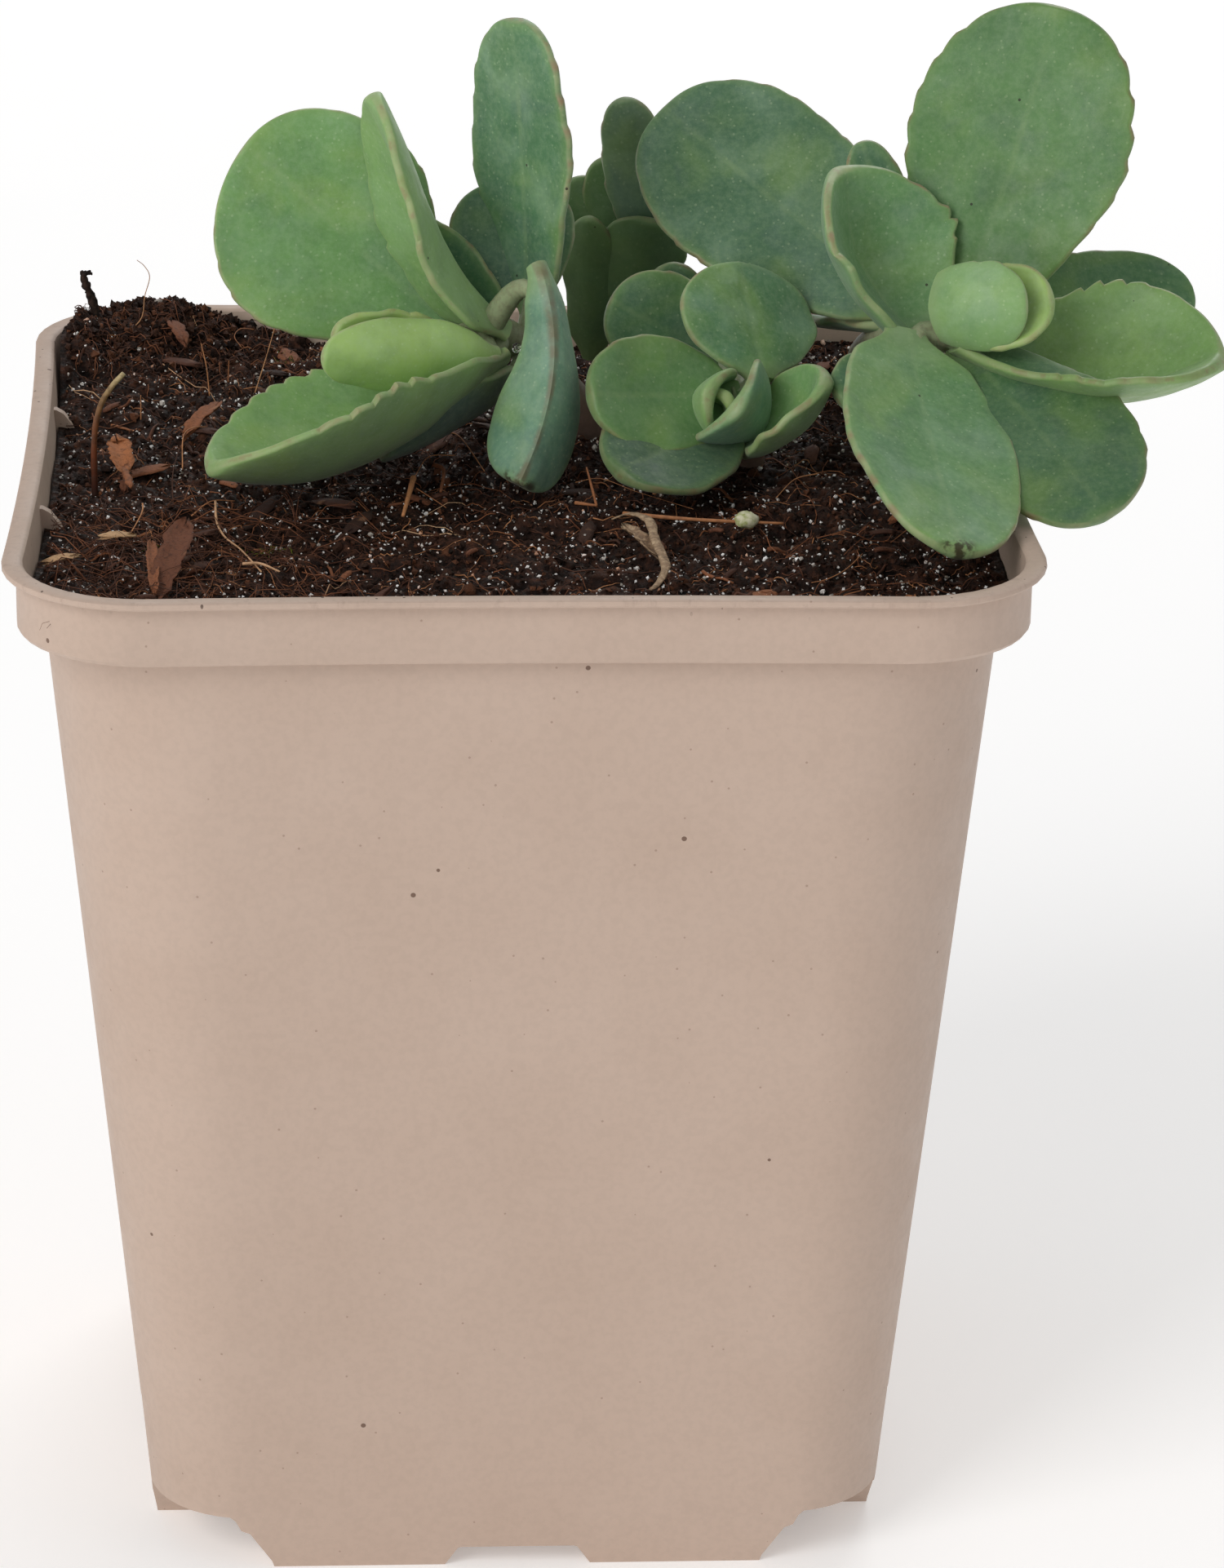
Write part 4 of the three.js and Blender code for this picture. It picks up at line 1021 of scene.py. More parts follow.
def blade_thickness(leaf, u, v, thick, half, length):
    """Half the thickness, from the middle to the round margin, with the groove along the rib."""
    middle = min(MIDDLE_THICK, MIDDLE_THIN + MIDDLE_PER_WIDTH * leaf["width"])
    half_thick = mix(middle, BLADE_EDGE, np.abs(v) ** 1.5) / 2 * thick
    rounding = TIP_ROUNDING / length
    tip_share = np.clip((u - (1 - rounding)) / rounding, 0, 1)
    half_thick = half_thick * np.sqrt(1 - 0.98 * tip_share ** 2)
    groove = np.exp(-(v * half / GROOVE_WIDTH) ** 2) * smoothstep(0.02, 0.2, u) * (thick > 0)
    return half_thick - GROOVE_DEPTH * groove * smoothstep(1.0, 0.7, u)


def add_leaf(shape, plan, seed):
    leaf = {**LEAF, **plan}
    length = float(np.linalg.norm(np.subtract(leaf["tip"], leaf["root"])))
    rows = int(np.clip(length / ROW_PITCH, FEWEST_ROWS, MOST_ROWS))
    lower = int(rows * LOWER_ROWS)
    to_tip = np.sin(math.pi / 2 * np.linspace(0, 1, rows - lower))
    u = np.concatenate([np.linspace(0, leaf["widest"], lower, endpoint=False),
                        mix(leaf["widest"], LAST_ROW, to_tip)])
    half = (leaf["width"] / 2 * outline_share(leaf, u))[:, None]
    v, thick = ring_places(np.clip(1 - BLADE_EDGE / 2 / np.maximum(half[:, 0], 0.01), 0.3, 1))
    u = np.broadcast_to(u[:, None], v.shape)
    points, face = leaf_surface(leaf, u, v, seed)
    dents = lumps(points, DENT_WIDTH, shift=seed * 3.1).reshape(v.shape) * smoothstep(0, 0.15, u)
    proud = blade_thickness(leaf, u, v, thick, half, length) + DENT_DEPTH * dents
    points = points + face * proud[..., None]
    values = {"along": u, "from_rib": np.abs(v) * half, "upper": np.where(thick >= 0, 1.0, 0.0),
              "inset": np.minimum((1 - np.abs(v)) * half, (1 - u) * length),
              "nib": tooth(leaf, u, np.where(v < 0, -1.0, 1.0), length, seed)[1],
              **{name: np.full(v.shape, float(leaf[name])) for name in PLAN_VALUES}}
    body, faces = skin(points[:, ::-1])
    shape.add(body, faces, **{name: np.concatenate([value[:, ::-1].reshape(-1), value[0, :1], value[-1, :1]])
                              for name, value in values.items()})


trial = Shape()
add_leaf(trial, {"root": (0, 0, 0), "tip": (20, 0, 0), "face": (0, 0, 1)}, 0)
print("a leaf 20 mm long has", len(trial.faces), "faces")

# %% [markdown]
# ## The leaves of the left shoot
# The left shoot lies down towards the left, so its bud points left and its leaves stand up in a fan.
# Beside its shape, each row says how the leaf is coloured: age runs from a young yellow-green leaf, 0,
# to an old blue-green one, 1, and bloom is how much wax it carries. deep is painted shade: how much a
# leaf that lies in the shadow of others is darkened. keel browns its fold and scar its tip.

# %% Leaves of the left shoot
LEFT_LEAVES = [
    dict(root=(-1.5, 9, 105), tip=(-24.5, 14.5, 122), width=21.5, face=(0.1, -1, 0.3), widest=0.62,
         foot=0.22, swell=2.6, blunt=2.1, crease=(8, 2), curl=(10, 3), rise=(-1, -1), side=(3, -0.2),
         lean=0.08, wave=0.4, age=0.38, teeth=0.22, deep=0),
    dict(root=(2, 9.5, 107.5), tip=(-1, 15, 118.5), width=12, face=(0.15, -1, 0.35), crease=(8, 4),
         curl=(10, 8), age=0.9, deep=0.3),
    dict(root=(0, 8.5, 106), tip=(-10.5, 11.5, 116), width=6.5, face=(-0.55, -1, 0.6), widest=0.5,
         crease=(12, 6), curl=(12, 8), age=0.75),
    dict(root=(2, 8.5, 106.5), tip=(0.5, 10, 135), width=13.5, face=(-1, -0.8, 0.3), widest=0.58,
         foot=0.35, blunt=2.3, crease=(6, 3), curl=(10, 4), rise=(-1, -1), side=(0.4, 0.4), age=0.75,
         teeth=0.35, deep=0, bloom=0.9),
    dict(root=(-0.5, 5.5, 107), tip=(-12.8, 6, 129), width=15, face=(-1, -0.25, 0), widest=0.5, foot=0.6,
         blunt=2, crease=(23, 8), curl=(22, 12), rise=(4, 0), age=0.3, teeth=0.6, deep=0),
    dict(root=(-2, 2.5, 105.5), tip=(-16.5, -3, 109), width=6.5, face=(-0.05, -1, 0.15), widest=0.55,
         foot=0.5, crease=(15, 8), curl=(24, 16), rise=(-1, -1), age=0.05, teeth=0.35, deep=0),
    dict(root=(-1.5, 1, 106), tip=(-17.5, -6.5, 108), width=7.5, face=(0.05, 1, -0.05), widest=0.5,
         foot=0.4, crease=(6, 3), curl=(45, 35), rise=(-1, -1), age=0.05, teeth=0.05, deep=0),
    dict(root=(-1, 3.5, 105), tip=(-27.5, -13.5, 100), width=24, face=(-0.1, 0, 1), widest=0.58, foot=0.4,
         blunt=1.95, crease=(33, 24), curl=(32, 28), rise=(-4, -7), side=(0, 1), lean=0.12, age=0.3,
         teeth=0.85, deep=0.05),
    dict(root=(1, 5.5, 103), tip=(-12, -3, 98), width=12, face=(0.05, 0.9, 1), foot=0.4, crease=(5, 5),
         curl=(10, 10), rise=(-1, -1), age=1, deep=0.1, bloom=1),
    dict(root=(2, -1, 115), tip=(0, -11.5, 97.5), width=12, face=(-0.15, 1, -0.35), widest=0.7, foot=0.4,
         swell=3.4, blunt=2.5, crease=(46, 43), curl=(14, 12), rise=(-1.5, -1), side=(-2.8, -2.6), wave=0,
         age=0.75, teeth=0.06, bloom=0.9, softness=0.12, deep=0, keel=1, scar=0.9),
]
print("the left shoot has", len(LEFT_LEAVES), "leaves")

# %% [markdown]
# ## The leaves of the back shoot
# A small dark shoot stands at the back, half hidden by the others: five narrow leaves round a short
# stem. What they share, such as a dusky colour, is filled in when the shoot is made, so that a value
# which is the same for all of them is written only once.

# %% Leaves of the back shoot
BACK_LEAVES = [
    dict(root=(15.5, 27, 103.5), tip=(11, 24.5, 124), width=7, face=(0.25, 1, -0.35), crease=(8, 4),
         curl=(12, 8), age=0.95, deep=0, bloom=1),
    dict(root=(14.5, 29, 102), tip=(9.5, 29.5, 117), width=7, face=(-0.25, -1, 0.35), crease=(8, 4),
         curl=(12, 8)),
    dict(root=(13.5, 29, 101.5), tip=(6, 30, 114.5), width=8.5, face=(-0.2, -1, 0.6), crease=(8, 4),
         curl=(12, 8)),
    dict(root=(11.5, 26, 102.5), tip=(14, 23.5, 112.5), width=9, face=(-0.05, 1, -0.35), widest=0.55,
         crease=(8, 4), curl=(20, 12)),
    dict(root=(8.5, 28, 97.5), tip=(8, 24.5, 112.5), width=6, face=(0.35, 1, -0.35), widest=0.55,
         foot=0.65, blunt=2, crease=(10, 6), curl=(25, 15)),
]
print("the back shoot has", len(BACK_LEAVES), "leaves")

# %% [markdown]
# ## The leaves of the front shoot
# The front shoot is a low rosette seen from above. Its outer leaves spread almost flat over the soil.
# The inner ones are still folded, so they curl by 50 degrees and more, and broaden straight from the
# foot. A bud could be one closed lump, but small folded leaves give it the right shadows.

# %% Leaves of the front shoot
FRONT_LEAVES = [
    dict(root=(18.5, 14, 103), tip=(14, 14, 110.5), width=6, face=(-0.05, -1, 0.35), age=0.9, deep=0.4),
    dict(root=(21, 8, 102.5), tip=(9, 7.5, 109), width=11, face=(0.05, -1, 0.6), widest=0.55,
         crease=(8, 4), curl=(10, 6), age=0.75, deep=0.45),
    dict(root=(22.5, -1, 104), tip=(20.5, 6.5, 113), width=14.5, face=(0.5, -0.65, 1), widest=0.5,
         foot=0.4, blunt=2, crease=(4, 2), curl=(-4, -6), lean=-0.02, age=0.7, teeth=0.06, bloom=1,
         deep=0.1),
    dict(root=(20, -1, 100), tip=(9, -13.5, 99), width=12, face=(-0.05, -0.8, 1), widest=0.55, foot=0.4,
         crease=(8, 4), curl=(8, 4), age=0.95, teeth=0.06, deep=0.7),
    dict(root=(21, -3, 98), tip=(28, -7, 106), width=11.5, face=(-0.1, -0.3, 1), widest=0.5, foot=0.6,
         crease=(22, 14), curl=(36, 30), rise=(-2, -2), age=0.35, teeth=0.06, deep=0),
    dict(root=(20.5, -2, 103), tip=(6.5, -7.5, 104.5), width=12, face=(-0.05, -1, 0.75), widest=0.55,
         foot=0.45, crease=(6, 3), curl=(14, 10), rise=(-0.8, -0.8), age=0.45, teeth=0.2, deep=0.6),
    dict(root=(22.5, -0.5, 99.5), tip=(19.5, -9.5, 104), width=12, face=(-1, 0.05, 0.8), widest=0.45,
         foot=0.7, neck=1, crease=(14, 8), curl=(60, 50), rise=(-1, -1), wave=0, age=0.7, teeth=0.08,
         deep=0, bloom=0.9),
    dict(root=(17, -0.5, 101.5), tip=(17.5, -7, 104.5), width=9, face=(1, -0.5, -0.1), widest=0.45,
         foot=0.8, neck=1, crease=(12, 8), curl=(65, 55), rise=(-0.7, -0.7), wave=0, age=0.3, teeth=0.06),
    dict(root=(19, -1, 101), tip=(19, -6, 104), width=5, face=(-1, -0.65, -0.8), widest=0.45, foot=0.8,
         neck=1, crease=(12, 8), curl=(65, 55), rise=(-0.3, -0.3), wave=0, age=0.1, teeth=0.1),
]
print("the front shoot has", len(FRONT_LEAVES), "leaves")

# %% [markdown]
# ## The leaves of the right shoot
# The right shoot is the largest and hangs over the side of the pot. Its back leaves stand up and show
# their faces, the front ones spread over the rim, and its bud opens to the right. Leaves that form a
# trough have a crease and a curl of 20 degrees or more.

# %% Leaves of the right shoot
RIGHT_LEAVES = [
    dict(root=(41.5, 2.5, 108), tip=(63.5, 9.5, 109.5), width=11, face=(-0.05, -0.95, 1), widest=0.55,
         age=0.7, deep=0.5, teeth=0.15),
    dict(root=(40, -0.5, 108.5), tip=(49.5, 7, 137), width=21, face=(-0.35, -1, 0.35), blunt=2.1,
         crease=(8, 2), curl=(8, 3), rise=(-1, -1), side=(-0.5, -0.5), wave=0.4, age=0.5, teeth=0.5,
         deep=0.5),
    dict(root=(37.5, 3.5, 108), tip=(32, 8.5, 124), width=6, face=(-0.05, -1, 0.35), age=0.85),
    dict(root=(37.5, 6.5, 108), tip=(14.5, 22, 123.5), width=19, face=(0.3, -1, 0.4), foot=0.35,
         blunt=2.35, crease=(5, 2), curl=(8, 4), rise=(-1, -1), wave=0.4, age=0.85, teeth=0.22, deep=0.3,
         bloom=0.8),
    dict(root=(37, -5, 108), tip=(29.5, 1, 123.5), width=21, face=(0.9, -0.95, 0.4), widest=0.55,
         foot=0.45, blunt=2.3, crease=(28, 20), curl=(38, 30), rise=(-4, -5), age=0.5, teeth=0.6,
         deep=0.1),
    dict(root=(36.5, 3.5, 107.5), tip=(29.5, 17, 104.5), width=7, face=(0, 0.15, 1), age=0.9),
    dict(root=(38, -2, 105.5), tip=(29, -7, 104), width=8, face=(-0.05, -0.8, 1), age=0.85),
    dict(root=(40, -5, 108), tip=(51, -26, 99), width=16, face=(0.05, -0.95, 1), foot=0.35, crease=(5, 2),
         curl=(6, 3), rise=(1, 1), lean=0.04, age=0.8, teeth=0.3, deep=0.65),
    dict(root=(35, -6.5, 110), tip=(37, -35, 99), width=17, face=(0.4, -0.45, 1), widest=0.5, foot=0.5,
         crease=(8, 2), curl=(12, 10), rise=(-1, -1), lean=-0.04, age=0.55, teeth=0.12, bloom=0.8, deep=0.05,
         scar=0.9),
    dict(root=(39.5, -6, 109), tip=(63.5, -10.5, 109), width=22, face=(-0.05, -0.3, 1), foot=0.4,
         blunt=2.3, crease=(32, 22), curl=(32, 26), rise=(-6, -6), age=0.3, teeth=0.6, deep=0.4),
    dict(root=(39.5, -5.5, 110.5), tip=(48, -8.5, 114), width=9, face=(-0.3, -1, 0.75), widest=0.55,
         foot=0.5, neck=1, crease=(10, 5), curl=(40, 30), rise=(-0.6, -0.6), wave=0, age=0.1, teeth=0.2,
         deep=0),
    dict(root=(37.5, -6.5, 112.5), tip=(45.5, -10.5, 114), width=9, face=(0.05, 1, -0.25), widest=0.5,
         foot=0.75, neck=1, swell=0.8, crease=(6, 3), curl=(42, 34), rise=(-1.2, -1.2), wave=0, age=0.35,
         teeth=0.3, deep=0, bloom=0.8),
]
print("the right shoot has", len(RIGHT_LEAVES), "leaves")

# %% [markdown]
# ## Where the stems run
# A shoot is one grown piece, a stem with its leaves. Each stem starts 7 mm down in the soil, rises and
# leans out, and ends in the bud. A few places along it are enough, because a smooth line is drawn
# through them; drawing every millimetre would only add kinks.

# %% Places and radii of the stems
STEMS = {
    "left": [(9, 13.5, 88), (9, 13.5, 92), (5, 11, 100), (-0.5, 6.5, 106), (-5, 3, 106.5)],
    "back": [(10.5, 30, 88), (10.5, 30, 93), (12, 29.5, 99), (14.5, 28, 104)],
    "front": [(22, 3, 88), (22, 3, 92), (21.5, 0.5, 99), (20, -2, 103)],
    "right": [(34, 25, 88), (33.5, 24, 93), (34, 16.5, 101), (35, 6.5, 106), (38, -3, 108.5),
              (40, -6.5, 111)],
}
# line of the stem, its radius, and its leaves
SHOOTS = {
    "left": (STEMS["left"], 1.8, LEFT_LEAVES),
    "back": (STEMS["back"], 1.4, BACK_LEAVES),
    "front": (STEMS["front"], 1.7, FRONT_LEAVES),
    "right": (STEMS["right"], 1.8, RIGHT_LEAVES),
}
print("leaves:", {name: len(plan[2]) for name, plan in SHOOTS.items()})

# %% [markdown]
# ## Green flesh
# The upper side of a leaf is a deeper green, the underside paler and bluer, and both change from
# yellow-green to blue-green as the leaf ages. A ramp of four greens for each side, read at the leaf's
# age, gives every leaf its own colour from one shared finish, where a finish for each leaf would make
# thirty-six of them.

# %% Greens of both sides
AGES = (0.0, 0.35, 0.7, 1.0)
UPPER_GREENS = [shade(178, 206, 112), shade(114, 158, 94), shade(84, 130, 88), shade(78, 110, 92)]
UNDER_GREENS = [shade(172, 204, 118), shade(132, 170, 110), shade(106, 150, 122), shade(94, 124, 108)]


def green_flesh(flesh):
    age = flesh.value("age")
    over, under = [flesh.steps(age, *zip(AGES, greens)) for greens in (UPPER_GREENS, UNDER_GREENS)]
    flesh.paint(flesh.blend(flesh.value("upper"), under, over))


print("greens for each side:", len(UPPER_GREENS))

# %% [markdown]
# ## Clouds and bloom
# Over the flesh lies a thin bloom of wax, greyish and matt, that rubs off in patches. Under it are
# yellow-green blotches, darker clouds and, on old leaves, bluish patches. Wide ones and fine ones are
# laid over each other, and none covers more than half, so that no single one can be picked out.

# %% Clouds and bloom
def clouds(flesh):
    flesh.layer(flesh.ramp(flesh.grain(9, 3, 0.5, 0.6), 0.45, 0.72, 0.0, 0.42), shade(142, 172, 88))
    flesh.layer(flesh.ramp(flesh.grain(3.2, 4, 0.6), 0.4, 0.7, 0.0, 0.22), shade(58, 98, 66))
    patch = flesh.ramp(flesh.grain(7, 3, 0.55, 0.8), 0.5, 0.68, 0.0, 0.45)
    flesh.layer(flesh.times(patch, flesh.value("age")), shade(78, 106, 100))
    wax = flesh.ramp(flesh.grain(5.5, 4, 0.6, 0.4), 0.42, 0.7, 0.0, 0.3)
    flesh.layer(flesh.times(wax, flesh.value("bloom")), shade(158, 186, 164))
    flesh.layer(flesh.ramp(flesh.grain(0.55, 3, 0.7), 0.35, 0.7, 0.0, 0.16), shade(176, 200, 160))
    flesh.layer(flesh.times(flesh.dots(0.75, 0.16), 0.2), shade(196, 214, 176))


print("cloud sizes: 9, 3.2, 7, 5.5 and 0.55 mm")

# %% [markdown]
# ## Midrib and margin
# The foot and the midrib are paler than the blade. The margin glows yellow-green where it is thin, has
# a pale line at its very edge, broken here and there, and is tipped with brown on the teeth. The
# distances that each point carries say where all of this lies; painting it by hand would have to be
# done again whenever a leaf changes.

# %% Midrib and margin
def rib_and_margin(flesh, broken):
    inset = flesh.value("inset")
    flesh.layer(flesh.ramp(flesh.value("along"), 0.0, 0.2, 0.55, 0.0), shade(150, 172, 122))
    rib = flesh.ramp(flesh.value("from_rib"), 0.1, 0.5, 0.2, 0.0)
    flesh.layer(flesh.times(rib, flesh.value("upper"), broken), shade(160, 184, 134))
    flesh.layer(flesh.ramp(inset, 0.2, 1.3, 0.28, 0.0), shade(132, 164, 92))
    flesh.layer(flesh.times(flesh.ramp(inset, 0.08, 0.3, 0.5, 0.0), broken), shade(176, 178, 136))
    ragged = flesh.ramp(flesh.grain(1.6, 3, 0.6), 0.52, 0.64, 0.0, 0.4)
    flesh.layer(flesh.times(flesh.ramp(inset, 0.0, 0.16, 1.0, 0.0), ragged), shade(150, 116, 92))
    brown_tips = flesh.times(flesh.ramp(inset, 0.05, 0.45, 0.7, 0.0), flesh.value("nib"))
    older = flesh.ramp(flesh.value("age"), 0.1, 0.6, 0.35, 1.0)
    flesh.layer(flesh.times(brown_tips, older), shade(146, 108, 88))


print("the pale line ends", 0.3, "mm from the edge")

# %% [markdown]
# ## Specks and scars
# Leaves that have lived outdoors are marked: small brown scabs in a few places, bits of soil that were
# splashed up, a tip that dried out and a fold rubbed brown. Only the leaves whose rows ask for them,
# with scar and keel, get the last two.

# %% Specks and scars
def marks(flesh, broken):
    from_rib = flesh.value("from_rib")
    scab = flesh.ramp(flesh.grain(1.1, 4, 0.7, where=flesh.stretch(1, 1, 1.3)), 0.71, 0.76)
    in_places = flesh.ramp(flesh.grain(11, 1), 0.55, 0.66, 0.0, 0.7)
    flesh.layer(flesh.times(scab, in_places), shade(96, 84, 54))
    flesh.layer(flesh.times(flesh.dots(6.0, 0.022), 0.85), shade(40, 32, 22))
    at_tip = flesh.times(flesh.ramp(flesh.value("along"), 0.95, 0.98), flesh.value("scar"))
    near_rib = flesh.ramp(from_rib, 0.9, 2.2, 1.0, 0.0)
    uneven = flesh.ramp(flesh.grain(1.3, 3, 0.6), 0.42, 0.56)
    flesh.layer(flesh.times(at_tip, near_rib, uneven), shade(52, 44, 22))
    fold = flesh.times(flesh.ramp(from_rib, 0.08, 0.3, 0.7, 0.0), flesh.value("keel"))
    flesh.layer(flesh.times(fold, broken), shade(112, 92, 66))


all_leaves = [plan for stem, radius, plans in SHOOTS.values() for plan in plans]
print("leaves with a scar:", sum("scar" in plan for plan in all_leaves))

# %% [markdown]
# ## The whole leaf skin
# The layers come together here. deep multiplies the colour by a shaded green: it is painted shade, which
# darkens a leaf that lies in shadow without greying it.
# Light goes a little way into the flesh and comes out again, so a weak subsurface glow softens the
# shadows, and a little sheen stands for the wax. A second skin, duller and browner, is for the old
# shoot at the back.

# %% Finish of the leaves
SHADED_GREEN = (0.42, 0.48, 0.30, 1)
FLESH = {"Subsurface Weight": 0.12, "Subsurface Radius": (0.6, 1.0, 0.25), "Subsurface Scale": 0.0012,
         "Sheen Weight": 0.12, "Sheen Roughness": 0.5}


def leaf_finish(name, dusk=0.0):
    flesh = Finish(name, 0.5, 0.35)
    broken = flesh.ramp(flesh.grain(2.5, 3, 0.6), 0.35, 0.65, 0.3, 1.0)
    green_flesh(flesh)
    clouds(flesh)
    rib_and_margin(flesh, broken)
    marks(flesh, broken)
    # painted shade: deep darkens leaves that lie in the shadow of others
    flesh.layer(flesh.value("deep"), SHADED_GREEN, kind="MULTIPLY")
    if dusk:
        flesh.layer(dusk, shade(88, 98, 62))
    flesh.fill({"Roughness": flesh.ramp(flesh.grain(1.5, 3), 0.35, 0.7, 0.42, 0.6), **FLESH})
    flesh.relief(flesh.grain(0.3, 3, 0.6), 0.03, 0.6)
    flesh.relief(flesh.grain(2.2, 3), 0.12, 0.5)
    return flesh


leaf_skin = leaf_finish("waxy green leaf")
dusky_skin = leaf_finish("dusky old leaf", 0.35)
print("shader nodes in the leaf skin:", len(leaf_skin.tree.nodes))

# %% [markdown]
# ## Stems and leaf stalks
# The stems are fleshy and as thick as a match, with slight swellings where leaves have grown. A short
# stalk runs from the stem into the foot of each leaf. Leaves could simply be pushed into the stem, but
# a stalk that widens towards it hides the join, as the real one does.

# %% Stems and leaf stalks
STEM_SWELLING = 0.07
STALK_RADII = (1.35, 0.55)
GREEN_AT = 14


def add_stem(shape, places, radius):
    line = smooth_line(places, 48)
    swelling = 1 + STEM_SWELLING * np.sin(np.linspace(0, 11 * math.pi, len(line)))
    radii = mix(radius, radius * 0.85, np.linspace(0, 1, len(line))) * swelling
    body, faces = skin(tube(line, radii, 16))
    shape.add(body, faces, along=np.clip((body[:, 2] - SOIL_LEVEL) / GREEN_AT, 0, 1), brown=1.0)


def add_stalk(shape, stem_line, plan):
    foot, end = midrib({**LEAF, **plan}, np.array([0.0, NECK_LENGTH]))[0]
    start = stem_line[np.argmin(np.linalg.norm(stem_line - foot, axis=1))]
    path = smooth_line([start, mix(foot, start, 0.35), end], 10)
    body, faces = skin(tube(path, mix(*STALK_RADII, np.linspace(0, 1, 11)), 10))
    shape.add(body, faces, along=1.0, brown=0.3)


print("a stalk narrows from", 2 * STALK_RADII[0], "to", 2 * STALK_RADII[1], "mm")

# %% [markdown]
# Near the soil the stems are purplish brown and turn pale green higher up. Each of the two colours is
# a mix of two close shades, and the height above the soil chooses between them. Fine dark lines keep
# the skin from looking like wax.

# %% Finish of the stems
stem_skin = Finish("fleshy stem", 0.5, 0.35)
stem_skin.paint(stem_skin.blend(stem_skin.grain(2.0, 3), shade(140, 158, 118), shade(164, 172, 138)))
brown_part = stem_skin.blend(stem_skin.grain(1.5, 3), shade(112, 92, 84), shade(142, 118, 104))
low_down = stem_skin.ramp(stem_skin.value("along"), 0.1, 0.8, 1.0, 0.25)
stem_skin.layer(stem_skin.times(low_down, stem_skin.value("brown")), brown_part)
stem_skin.layer(stem_skin.ramp(stem_skin.grain(0.5, 3, 0.6), 0.4, 0.7, 0.0, 0.35), shade(104, 92, 74))
stem_skin.relief(stem_skin.grain(0.8, 3), 0.12, 0.6)
stem_skin.fill({"Subsurface Weight": 0.08, "Subsurface Scale": 0.001})
print("shader nodes in the stem's skin:", len(stem_skin.tree.nodes))

# %% [markdown]
# ## The four shoots
# Now each shoot is grown: its leaves become one piece and its stem with the stalks another, because
# the two have different skins. The leaves stand for the shoot of the packed part. The seed of a leaf
# shifts its teeth and dents, so that no two leaves are the same.

# %% Grow the shoots
# the back shoot is old, and stands in the others' shadow, so its deep, which is painted shade, is high
OLD_SHADED_SHOOT = {"age": 0.55, "deep": 0.45}
for name, (places, radius, plans) in SHOOTS.items():
    common, finish, slot = (OLD_SHADED_SHOOT, dusky_skin, "leaf_dark") if name == "back" else ({}, leaf_skin, "leaf")
    blades, stem = Shape(), Shape()
    for number, plan in enumerate(plans):
        add_leaf(blades, {**common, **plan}, seed=number + len(name) * 0.37)
    make_piece(blades, f"{name}_leaves", finish, [f"shoot_{name}"], sharp_angle=38)
    add_stem(stem, places, radius)
    stem_line = smooth_line(places, 60)
    for plan in plans:
        add_stalk(stem, stem_line, plan)
    make_piece(stem, f"{name}_stem", stem_skin)

# %% [markdown]
# ## An old brown stalk
# A dry stalk stands upright at the left and bends over at its top. It is dark and reddish at the soil
# and bleached at its tip. The packed part has a plain rod here; this tube follows the same places,
# with a radius that swells and shrinks a little.

# %% Old brown stalk
STALK_PLACES = [(-38, -6, 93.5), (-38, -6, 96), (-38, -6, 99), (-37.8, -6, 101.5), (-37.2, -6, 103.6),
                (-36.2, -6, 105.2), (-35.2, -6, 106.3)]
STALK_HEIGHT = 11.5
stalk = Shape()
stalk_line = smooth_line(STALK_PLACES, 40)
stalk_radius = mix(0.31, 0.24, np.linspace(0, 1, 41)) * (1 + 0.1 * lumps(stalk_line, 0.8))
body, faces = skin(tube(stalk_line, stalk_radius, 10))
stalk.add(body, faces, tone=np.clip((body[:, 2] - SOIL_LEVEL) / STALK_HEIGHT, 0, 1))
old_stalk = Finish("old brown stalk", 0.6, 0.35)
old_stalk.paint(old_stalk.steps(old_stalk.value("tone"), (0.0, shade(42, 19, 11)), (0.3, shade(102, 48, 20)),
                                (0.6, shade(110, 67, 36)), (0.8, shade(134, 104, 66)),
                                (0.97, shade(176, 158, 116))))
old_stalk.layer(old_stalk.ramp(old_stalk.grain(0.5, 3), 0.45, 0.7, 0.0, 0.5), shade(64, 40, 24))
old_stalk.relief(old_stalk.grain(0.5, 3), 0.08, 0.8)
make_piece(stalk, "old_stalk", old_stalk, ["brown_stalk"])

# %% [markdown]
# ## A rotten twig
# In the back left corner a black twig sticks up and hooks over at its end, crumbling as it rots. A
# smooth tube would look like wire, so its radius jumps by more than half, and small lumps of bark
# cling to its upper part.

# %% Rotten twig
TWIG_PLACES = [(-38, 36.5, 95), (-39, 36.5, 98.5), (-39.7, 36.5, 101), (-40.3, 36.5, 102.6),
               (-40.4, 36.5, 103.4), (-39.7, 36.5, 103.6)]
twig = Shape()
twig_line = smooth_line(TWIG_PLACES, 30)
twig_radius = mix(0.5, 0.28, np.linspace(0, 1, 31)) * (1 + 0.6 * lumps(twig_line, 0.6))
twig.add(*skin(tube(twig_line, twig_radius, 8)))
for place in twig_line[12::2]:
    knob = place + chance.normal(0, 0.22, 3)
    twig.add(BALL[0] * chance.uniform(0.12, 0.34) * chance.uniform(0.7, 1.3, 3) + knob, BALL[1])
rotten = Finish("rotten twig", 0.9, 0.2)
rotten.paint(rotten.steps(rotten.grain(0.5, 3), (0.35, shade(20, 15, 13)), (0.7, shade(62, 46, 38))))
rotten.relief(rotten.grain(0.3, 3), 0.15, 1.0)
make_piece(twig, "rotten_twig", rotten, ["dark_twig"])

# %% [markdown]
# ## Straws and roots
# Threads that the eye can follow from end to end are listed one by one: the straw with a seed on it, pale
# roots that loop over the soil, and hairs that stand up. Left to chance they would never cross in the
# same way. Each row is one thread: its thickness, its tone from dark to pale, and its places.

# %% Straws and roots
THREAD_END = 0.6


def add_thread(shape, thickness, tone, places):
    steps = 30 if len(places) > 3 else 18
    line = smooth_line(places, steps)
    taper = mix(1, THREAD_END, np.linspace(0, 1, steps + 1))
    radii = thickness / 2 * taper * (1 + 0.15 * lumps(line, 1.2))
    shape.add(*skin(tube(line, radii, 8 if thickness > 0.3 else 5)), tone=tone)


